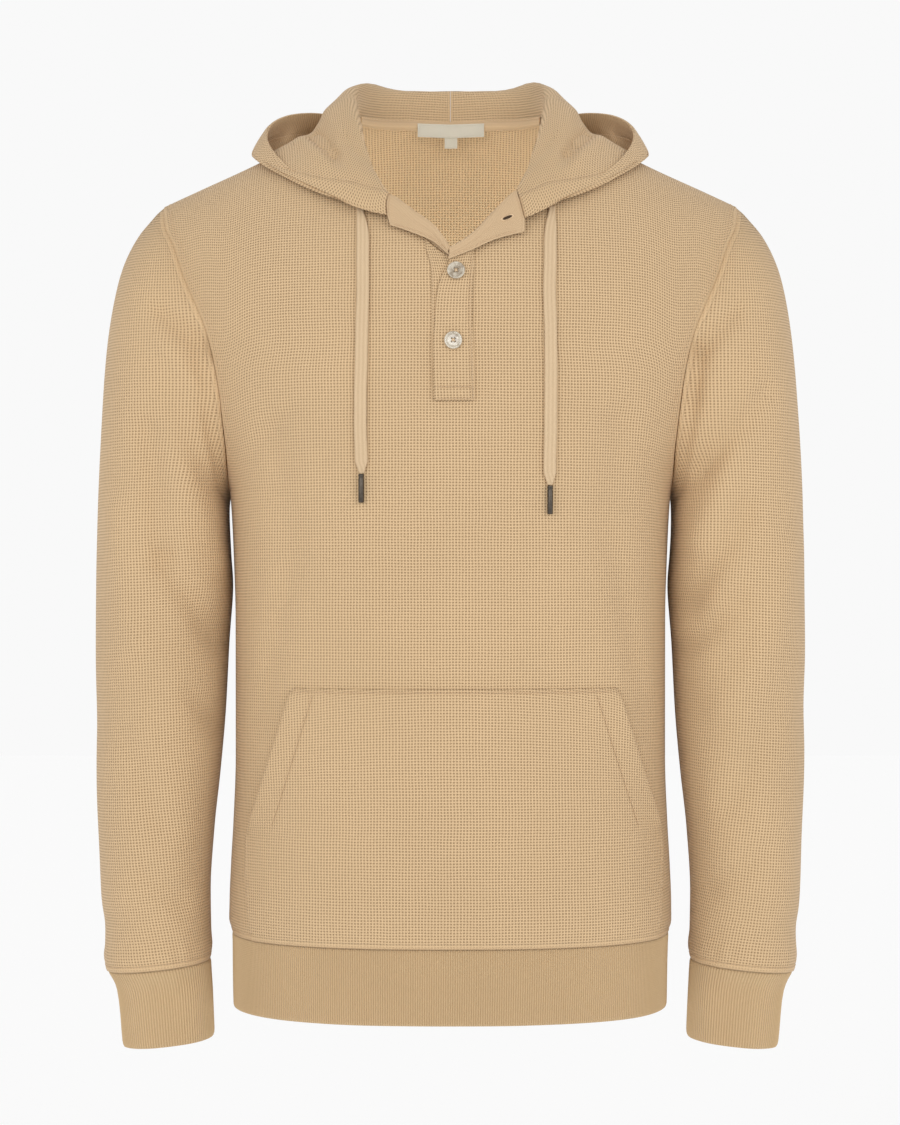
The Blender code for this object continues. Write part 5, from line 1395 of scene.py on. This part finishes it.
def make_facing(name, left):
    """A facing from the neck opening's edge up to its roll and down over the chest."""
    table = FACINGS[left]
    rows, columns = 26, 30
    sections = []
    for n in range(columns + 1):
        place = TAB_COLUMNS * n / columns
        share = place / (TAB_COLUMNS + HOOD_FRONT_COLUMNS)
        x, z = NECK_FRONT.at(share, "x"), NECK_FRONT.at(share, "z")
        base = Vector((x, body_y(x, z, -1), z))
        lift = table.at(place, "lift")
        roll_x, roll_z = table.at(place, "roll_x"), table.at(place, "roll_z")
        edge_x, edge_z = table.at(place, "edge_x"), table.at(place, "edge_z")
        roll = on_front(roll_x, roll_z, lift + 1.0 + place)
        edge = on_front(edge_x, edge_z, lift)
        turn = on_front(0.75 * roll_x + 0.25 * edge_x, 0.75 * roll_z + 0.25 * edge_z, lift + 1.6 + place)
        half_way = on_front((roll_x + edge_x) / 2, (roll_z + edge_z) / 2, lift + 0.6 + 0.5 * place)
        knots = [base, roll, turn, half_way, edge]
        fine = np.array([smooth_line(knots, k / 60) for k in range(61)])
        if place > TAB_COLUMNS - 1:
            grid = hood_left_grid if left else hood_right_grid
            hood_line = np.concatenate((grid[:, 0], [tuple(edge)]))
            blend = (place - TAB_COLUMNS + 1) ** 2
            fine = fine * (1 - blend) + spread(hood_line, np.linspace(0, 1, 61)) * blend
        sections.append(spread(fine, np.linspace(0, 1, rows + 1)))
    outer = np.array(sections).transpose(1, 0, 2)
    outer[:, :, 0] = np.maximum(outer[:, :, 0], -2.5 if left else 0.2)
    normals = normals_of(outer)
    up, across = lengths_along(outer, 0), lengths_along(outer, 1)
    from_edge = up[-1] - up
    from_end = across[:, [-1]] - across
    sink = bevelled(from_edge, 0.7, 0.9) + bevelled(from_end, 0.5, 0.9)
    shaped = outer + normals * sink[..., None]
    inner = outer - normals * (FACING_THICK + sink * 0.6)[..., None]
    mark = np.minimum(seam_mark(from_edge + 5.2, 7.0), seam_mark(from_end + 5.2, 7.0))
    uv = np.stack((across, up), axis=-1)
    stitched, out = (
        line_at(grid, from_edge, FACING_STITCH, range(2, columns - 1)) for grid in (shaped, normals)
    )
    stitched, out = stitched - out * (FACING_THICK + 0.1), -out
    j, i = int(rows * HOLE_UP), int(columns * HOLE_ALONG)
    hole = (inner[j, i], -normals[j, i])
    if not left:
        shaped, inner, uv, mark = right_from_left(shaped, inner, uv, mark)
        stitched, out = stitched * MIRROR, out * MIRROR
    cloth_sheet(name, shaped, inner, uv, mark, PLAIN_CLOTH)
    return (stitched + out * 0.12, out), hole


facing_left_line, buttonhole_spot = make_facing("placket_facing_left_cloth", True)
facing_right_line, _ = make_facing("placket_facing_right_cloth", False)


POCKET_LIFT = 0.5
POCKET_HEM = 16.0         # width of the turned hem on each slanted opening
HEM_LINE = POCKET_HEM * 1.12          # the same, measured level
POCKET_TOP_STITCH, POCKET_SIDE_STITCH = 2.4, 2.8


def make_pocket():
    low, high = WAIST_SEAM_Z + 0.3, -433.0
    heights = [low, low + 1.5, *np.linspace(low + 4.0, high - 9.0, 52)]
    heights += [high - d for d in (6.0, 4.4, 3.6, 3.0, 2.4, 1.8, 1.2, 0.6, 0.0)]
    edge = np.array((0.0, 0.6, 1.2, 2.0, 2.8, 3.6, 5.0, 8.0, 12.0, 15.5, 17.0, HEM_LINE, 18.8, 20.5, 24.0))
    spots = []
    for z in heights:
        right, left = POCKET.at(z, "right"), POCKET.at(z, "left")
        middle = np.linspace(right + 24.0, left - 24.0, 60)[1:-1]
        spots.append([(x, z) for x in np.concatenate((right + edge, middle, left - edge[::-1]))])
    spots = np.array(spots)
    aside = np.minimum(spots[..., 0] - spots[:, [0], 0], spots[:, [-1], 0] - spots[..., 0])
    outline = np.array([[on_front(x, z, 0.0) for x, z in line] for line in spots])
    across = lengths_along(outline, 1)
    from_side = np.minimum(across, across[:, [-1]] - across)
    from_top = spots[[-1], :, 1] - spots[..., 1]
    from_foot = spots[..., 1] - spots[[0], :, 1]
    slanted = np.clip((spots[..., 1] - POCKET_SLANT_FOOT) / 8, 0, 1) * np.clip(from_top / 10, 0, 1)
    proud = 2.2 * slanted * hill(from_side, 0.0, 13.0)
    drop = hill(from_side, 0.0, 1.1) + hill(from_top, 0.0, 1.1) + 1.3 * hill(from_foot, 0.0, 1.6)
    groove = 0.45 * hill(from_top, POCKET_TOP_STITCH, 0.9) + 0.5 * slanted * hill(aside, HEM_LINE, 1.0)
    side_line = np.where(slanted > 0.5, HEM_LINE, POCKET_SIDE_STITCH)
    mark = np.minimum(groove_mark(from_top, POCKET_TOP_STITCH), groove_mark(aside, side_line))
    mark = np.minimum(mark, seam_mark(from_foot, WAIST_STITCH))
    high = POCKET_LIFT + CLOTH + proud - drop - groove
    front_sheet("kangaroo_pocket_cloth", spots, POCKET_LIFT + proud * 0.8, high, mark)
    lift = POCKET_LIFT + CLOTH + 0.1
    lines = [laid_line([(x, -433.0 - POCKET_TOP_STITCH) for x in np.linspace(-117.5, 124.0, 90)], lift)]
    for side, sign in (("right", 1), ("left", -1)):
        lines.append(upright_line(POCKET, side, sign * HEM_LINE, -537.0, -436.0, 50, lift + 0.5))
        lines.append(upright_line(POCKET, side, sign * POCKET_SIDE_STITCH, -620.0, -546.0, 40, lift - 0.1))
    return lines


pocket_lines = make_pocket()


# --- Neck tape, blank label and blank size tab ---
TAPE_REACH = 4.6


def make_neck_tape():
    """Flat tape over the back neck seam, from one shoulder seam to the other."""
    places = np.linspace(HOOD_FRONT_COLUMNS + 0.45, NECK_KNOTS, 60)
    fine_columns = hood_left_grid.shape[1] - 1
    half = []
    for place in places:
        column = min(fine_columns, int(round(place / NECK_KNOTS * fine_columns)))
        seam = neck_seam(place)
        up = Vector(hood_left_grid[6, column] - hood_left_grid[0, column]).normalized()
        x, z = seam.x, seam.z - 6.0
        down = (Vector((x, body_y(x, z, 1), z)) - seam).normalized()
        inwards = Vector((-x, -(seam.y + 10.0), 0.0)).normalized()
        middle = seam + inwards * (CLOTH + 0.7)
        half.append([
            middle + down * TAPE_REACH + inwards * 0.3, middle + down * 3 + inwards * 0.5,
            middle + inwards * 0.5,
            middle + up * 3 + inwards * 0.6, middle + up * TAPE_REACH + inwards * 0.7,
        ])
    half = np.array(half)
    whole = np.concatenate((half, half[:-1][::-1] * MIRROR)).transpose(1, 0, 2)
    smooth = np.array([[smooth_line(whole[:, i], n / 12) for i in range(whole.shape[1])] for n in range(13)])
    normals = normals_of(smooth)
    if normals[6, smooth.shape[1] // 2, 1] < 0:
        normals = -normals
    front_side = smooth - normals * 0.9
    up, across = lengths_along(smooth, 0), lengths_along(smooth, 1)
    across -= across[:, [across.shape[1] // 2]]
    from_edge = np.minimum(up, up[-1] - up)
    front_side = front_side + normals * (0.35 * hill(from_edge, 0.0, 0.8))[..., None]
    mark = seam_mark(from_edge + 5.6, 7.0)
    uv = np.stack((across, up), axis=-1)
    if normals_of(front_side)[6, smooth.shape[1] // 2, 1] >= 0:
        front_side, smooth, uv, mark = (grid[:, ::-1] for grid in (front_side, smooth, uv, mark))
    cloth_sheet("neck_tape_cloth", front_side, smooth, uv, mark, PLAIN_CLOTH)
    lines = []
    for row in (1, 11):
        out = normals_of(front_side)[row]
        lines.append((front_side[row] + out * 0.1, out))
    return front_side[6], lines


tape_middle, tape_lines = make_neck_tape()


def make_tag(name, top, forward, curl):
    """A blank woven piece against the tape, its lower edge a little free, as wide as its solid."""
    low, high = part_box(name)
    right, left, bottom = low[0] / MM, high[0] / MM, low[2] / MM
    rows, columns = 10, 26
    order = np.argsort(tape_middle[:, 0])
    grid = np.zeros((rows + 1, columns + 1, 3))
    for j in range(rows + 1):
        z = bottom + (top - bottom) * j / rows
        for i in range(columns + 1):
            x = right + (left - right) * i / columns
            y = np.interp(x, tape_middle[order, 0], tape_middle[order, 1]) - forward
            hang = (1 - j / rows) ** 2 * curl
            ripple = 0.3 * math.sin(3.1 * i / columns * math.pi) * (1 - j / rows)
            grid[j, i] = (x, y - hang - ripple, z)
    normals = normals_of(grid)
    inner = grid - normals * 0.55
    across, up = lengths_along(grid, 1), lengths_along(grid, 0)
    from_side = np.minimum(across, across[:, [-1]] - across)
    from_end = np.minimum(up, up[-1] - up)
    edge = np.minimum(from_side, from_end)
    shaped = grid + normals * bevelled(edge, 0.2, 0.5)[..., None]
    mark = seam_mark(edge + 5.9, 7.0)
    cloth_sheet(name + "_cloth", shaped, inner, np.stack((across, up), axis=-1), mark, LABEL)


label_low, label_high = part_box("neck_label")
make_tag("neck_label", label_high[2] / MM, 1.1, 0.6)
make_tag("size_tab", label_low[2] / MM + 4.0, 0.5, 0.3)          # its top is behind the label


# --- Buttons ---
BUTTON_ACROSS = 13.2
BUTTON_THICK = 2.4
HOLE_REACH = 1.55         # from the middle to each hole


def applied(piece, kind, **settings):
    """Adds a modifier with the given settings and applies it."""
    made = piece.modifiers.new(kind.title(), kind)
    for key, value in settings.items():
        setattr(made, key, value)
    bpy.context.view_layer.objects.active = piece
    bpy.ops.object.modifier_apply(modifier=made.name)


def settle(piece, name, solid, place, axis, smooth, material):
    """Puts a modelled piece in its place, its Z along axis, and finishes it."""
    piece.rotation_euler = axis.to_track_quat("Z", "Y").to_euler()
    piece.location = place * MM
    only(piece)
    bpy.ops.object.transform_apply(location=True, rotation=True, scale=True)
    bpy.ops.object.shade_smooth_by_angle(angle=math.radians(smooth))
    piece.name = piece.data.name = name
    dress(piece, material)
    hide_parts(solid)


def make_button(name, x, z):
    """A sewn-through button: a disc, its face sunk inside a rounded rim, with four holes and thread."""
    bpy.ops.object.select_all(action="DESELECT")
    bpy.ops.mesh.primitive_cylinder_add(vertices=64, radius=BUTTON_ACROSS / 2 * MM, depth=BUTTON_THICK * MM)
    button = bpy.context.object
    bpy.ops.object.mode_set(mode="EDIT")
    bpy.ops.mesh.select_mode(type="FACE")
    bpy.ops.mesh.select_all(action="DESELECT")
    bpy.ops.object.mode_set(mode="OBJECT")
    for face in button.data.polygons:
        face.select = face.normal.z > 0.9
    bpy.ops.object.mode_set(mode="EDIT")
    bpy.ops.mesh.inset(thickness=1.3 * MM)
    bpy.ops.mesh.inset(thickness=0.7 * MM)
    bpy.ops.transform.translate(value=(0, 0, -0.7 * MM))
    bpy.ops.mesh.inset(thickness=1.0 * MM)
    bpy.ops.object.mode_set(mode="OBJECT")
    applied(button, "BEVEL", width=0.45 * MM, segments=3, limit_method="ANGLE", angle_limit=math.radians(40))
    for n in range(4):
        angle = math.pi / 4 + n * math.pi / 2
        spot = (HOLE_REACH * MM * math.cos(angle), HOLE_REACH * MM * math.sin(angle), 0)
        bpy.ops.mesh.primitive_cylinder_add(vertices=20, radius=0.75 * MM, depth=8 * MM, location=spot)
        drill = bpy.context.object
        applied(button, "BOOLEAN", operation="DIFFERENCE", solver="EXACT", object=drill)
        bpy.data.objects.remove(drill, do_unlink=True)
    seat = on_front(x, z, OVERLAP_LIFT + BAND_THICK + 0.3 + BUTTON_THICK / 2)
    out = (on_front(x, z, 9.0) - on_front(x, z, 0.0)).normalized()
    settle(button, name + "_disc", name, seat, out, 35, HORN)
    flat_x = Vector((1, 0, 0))
    flat_x = (flat_x - out * flat_x.dot(out)).normalized()
    flat_z = out.cross(flat_x)
    face = seat + out * (BUTTON_THICK / 2 - 0.55)
    holes = []
    for n in range(4):
        angle = math.pi / 4 + n * math.pi / 2
        holes.append(face + (flat_x * math.cos(angle) + flat_z * math.sin(angle)) * HOLE_REACH)
    threads = []
    for a, b in ((0, 2), (1, 3)):
        for shift in (-0.25, 0.25):
            aside = flat_x * shift if a else flat_z * shift
            threads.append([holes[a].lerp(holes[b], share) + aside + out * lift
                            for share, lift in ((0, -1.6), (0.06, 0.1), (0.5, 0.45), (0.94, 0.1), (1, -1.6))])
    thread_piece(name + "_thread", threads, 0.48, resolution=2)


make_button("button_upper", 4.1, -121.2)
make_button("button_lower", 2.1, -173.2)


# --- Drawstring and its metal tips ---
STRING_WIDE, STRING_THICK = 9.3, 1.5
STRING_LIFT = 0.8
STRING_TAPER = 9.0
AGLET_ACROSS, AGLET_LONG = 4.2, 21.5


def make_aglet(side):
    """A crimped metal tip: a round sleeve with softened ends and a pressed ring near its top."""
    table = STRINGS[side]
    x, top = table.rows[0][1], table.rows[0][0] - 0.3
    high = on_front(x, top, STRING_LIFT + AGLET_ACROSS / 2)
    low = on_front(x, top - AGLET_LONG, STRING_LIFT + AGLET_ACROSS / 2)
    bpy.ops.object.select_all(action="DESELECT")
    bpy.ops.mesh.primitive_cylinder_add(vertices=32, radius=AGLET_ACROSS / 2 * MM, depth=AGLET_LONG * MM)
    tip = bpy.context.object
    bpy.ops.object.mode_set(mode="EDIT")
    for height in (8.6, 7.8, 7.0):
        bpy.ops.mesh.select_all(action="SELECT")
        bpy.ops.mesh.bisect(plane_co=(0, 0, height * MM), plane_no=(0, 0, 1))
    bpy.ops.object.mode_set(mode="OBJECT")
    for vertex in tip.data.vertices:
        if abs(vertex.co.z - 7.8 * MM) < 0.05 * MM:
            vertex.co.x *= 0.88
            vertex.co.y *= 0.88
    applied(tip, "BEVEL", width=0.75 * MM, segments=4, limit_method="ANGLE", angle_limit=math.radians(60))
    settle(tip, f"aglet_{side}_tip", f"aglet_{side}", (high + low) / 2, high - low, 40, METAL)
    return tip


def make_string(side):
    """The drawstring's free end: a flat tape, slightly cupped, that narrows into its tip."""
    table = STRINGS[side]
    low, high = table.rows[0][0], table.rows[-1][0]
    rows, columns = 90, 8
    outer = np.zeros((rows + 1, columns + 1, 3))
    inner = np.zeros_like(outer)
    path = []
    for j in range(rows + 1):
        z = low + (high - low) * j / rows
        narrow = min(1.0, (z - low) / STRING_TAPER)
        pinch = 1 - 0.5 * hill(z, high, 13.0)
        half = 0.5 * pinch * (AGLET_ACROSS * 0.8 + (STRING_WIDE - AGLET_ACROSS * 0.8) * narrow)
        x = table.at(z, "x") + 0.35 * noise.noise(Vector((0.0, z / 25, 1.0 if side == "left" else 6.0)))
        path.append(tuple(on_front(x, z, STRING_LIFT + STRING_THICK / 2) * MM))
        for i in range(columns + 1):
            across = -math.cos(math.pi * i / columns)
            cup = 0.35 * across**2 + 0.3 * across * noise.noise(Vector((z / 30, 2.0, 0.0)))
            round_off = (1 - across**4) ** 0.5
            middle = STRING_LIFT + STRING_THICK / 2 + cup
            wall = STRING_THICK / 2 * (0.25 + 0.75 * round_off)
            outer[j, i] = on_front(x + half * across, z, middle + wall)
            inner[j, i] = on_front(x + half * across, z, middle - wall)
    uv = np.stack((lengths_along(outer, 1) - STRING_WIDE / 2, lengths_along(outer, 0)), axis=-1)
    mark = np.full(outer.shape[:2], 12.0)
    piece = two_sided(f"drawstring_{side}_tape", outer, inner, uv, mark, TAPE, smooth=60)
    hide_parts(f"drawstring_{side}")
    path = path[::-1]
    make_aglet(side)


for side in STRINGS:
    make_string(side)


# --- Buttonhole on the wearer's left facing ---
def make_buttonhole():
    spot, out = buttonhole_spot
    spot, out = Vector(spot), Vector(out)
    run = Vector((0.93, 0.0, 0.36))
    run = (run - out * run.dot(out)).normalized()
    side = out.cross(run)
    bpy.ops.object.select_all(action="DESELECT")
    # A dark lens in the slit: painted shadow where the buttonhole opens into the cloth.
    bpy.ops.mesh.primitive_uv_sphere_add(segments=24, ring_count=12, radius=1.0)
    slit = bpy.context.object
    for vertex in slit.data.vertices:
        c = vertex.co.copy()
        vertex.co = (spot + run * c.x * 3.9 + side * c.y * 1.1 + out * (c.z * 0.3 + 0.12)) * MM
    bpy.ops.object.shade_smooth()
    slit.name = slit.data.name = "buttonhole_slit_shadow"
    dark, tree, shader = start_material("buttonhole_shadow", 0.95)
    tree.links.new(uneven_tone(tree, (0.05, 0.028, 0.014), 0.3, 3.0), shader.inputs["Base Color"])
    dress(slit, dark)
    stitches = []
    for n in range(48):
        angle = 2 * math.pi * n / 48
        here = spot + run * math.cos(angle) * 4.6 + side * math.sin(angle) * 1.6 + out * 0.1
        away = (here - spot - out * 0.15).normalized()
        stitches.append([here + away * reach + out * lift
                         for reach, lift in ((-0.55, 0.0), (0.1, 0.28), (0.75, 0.0))])
    thread_piece("buttonhole_stitching", stitches, 0.4)


make_buttonhole()

# --- All the topstitching ---
sew("topstitching_armholes", back_lines + front_lines)
sew("topstitching_waist", [waist_line])
sew("topstitching_cuffs", left_cuff_line + right_cuff_line)
sew("topstitching_hood", hood_left_lines + hood_right_lines)
sew("topstitching_placket", placket_lines + [facing_left_line, facing_right_line])
sew("topstitching_pocket", pocket_lines)
sew("topstitching_neck_tape", tape_lines)

# --- Floor, backdrop and light ---
FLOOR_Z = -1.1
BACKDROP = 0.947
bpy.ops.object.select_all(action="DESELECT")
bpy.ops.mesh.primitive_plane_add(size=16.0, location=(0, 0, FLOOR_Z))
floor = bpy.context.object
floor.name = "pale_floor"
paper, _, paper_shader = start_material("pale_paper", 1.0)
paper_shader.inputs["Base Color"].default_value = (0.3, 0.3, 0.3, 1.0)
paper_shader.inputs["Specular IOR Level"].default_value = 0.0
paper_shader.inputs["Emission Color"].default_value = (1.0, 1.0, 1.0, 1.0)
paper_shader.inputs["Emission Strength"].default_value = 0.71
floor.data.materials.append(paper)

# The room is white behind the garment and greyer in front of it.
world = bpy.data.worlds.new("pale_studio")
bpy.context.scene.world = world
world.use_nodes = True
sky = world.node_tree
facing = node(sky, "ShaderNodeSeparateXYZ", {"Vector": node(sky, "ShaderNodeTexCoord").outputs["Generated"]})
behind = reckon(sky, "MULTIPLY_ADD", facing.outputs["Z"], -0.7, facing.outputs["Y"])
strength = node(sky, "ShaderNodeMapRange", {"Value": behind, "From Min": -0.5, "From Max": 0.4,
                                            "To Min": 0.655, "To Max": BACKDROP}).outputs["Result"]
sky.nodes["Background"].inputs["Color"].default_value = (1.0, 1.0, 1.0, 1.0)
sky.links.new(strength, sky.nodes["Background"].inputs["Strength"])


def lamp(kind, name, place, energy, towards=(0, 0, -1)):
    """A light of Blender's kind at a place in metres, which shines towards a direction."""
    bpy.ops.object.light_add(type=kind, location=place)
    made = bpy.context.object
    made.name = name
    made.data.energy = energy
    made.rotation_euler = Vector(towards).to_track_quat("-Z", "Y").to_euler()
    return made


for name, aside in (("left_light", -0.78), ("right_light", 0.70)):
    lamp("SUN", name, (-2.0 * aside, -3, 1), 0.73, (aside, 1.0, -0.25)).data.angle = math.radians(35)

glow = lamp("SPOT", "chest_light", (0, -2.4, 0.3), 60.0, (0, 2.4, -0.55))
glow.data.spot_size, glow.data.spot_blend = math.radians(17), 1.0
glow.data.shadow_soft_size = 0.5

inside = lamp("AREA", "inside_light", (0, -0.03, -0.24), 0.43, (0.0, 0.16, 0.19))
inside.data.size = 0.08
inside.data.color = (0.93, 1.0, 1.0)
inside.visible_camera = False
for side in (-1, 1):
    hollow = lamp("POINT", "hood_light", (side * 0.128, 0.05, 0.004), 0.007)
    hollow.data.shadow_soft_size = 0.02
    hollow.visible_camera = False

bpy.context.scene.view_settings.view_transform = "Standard"
bpy.context.scene.view_settings.look = "None"
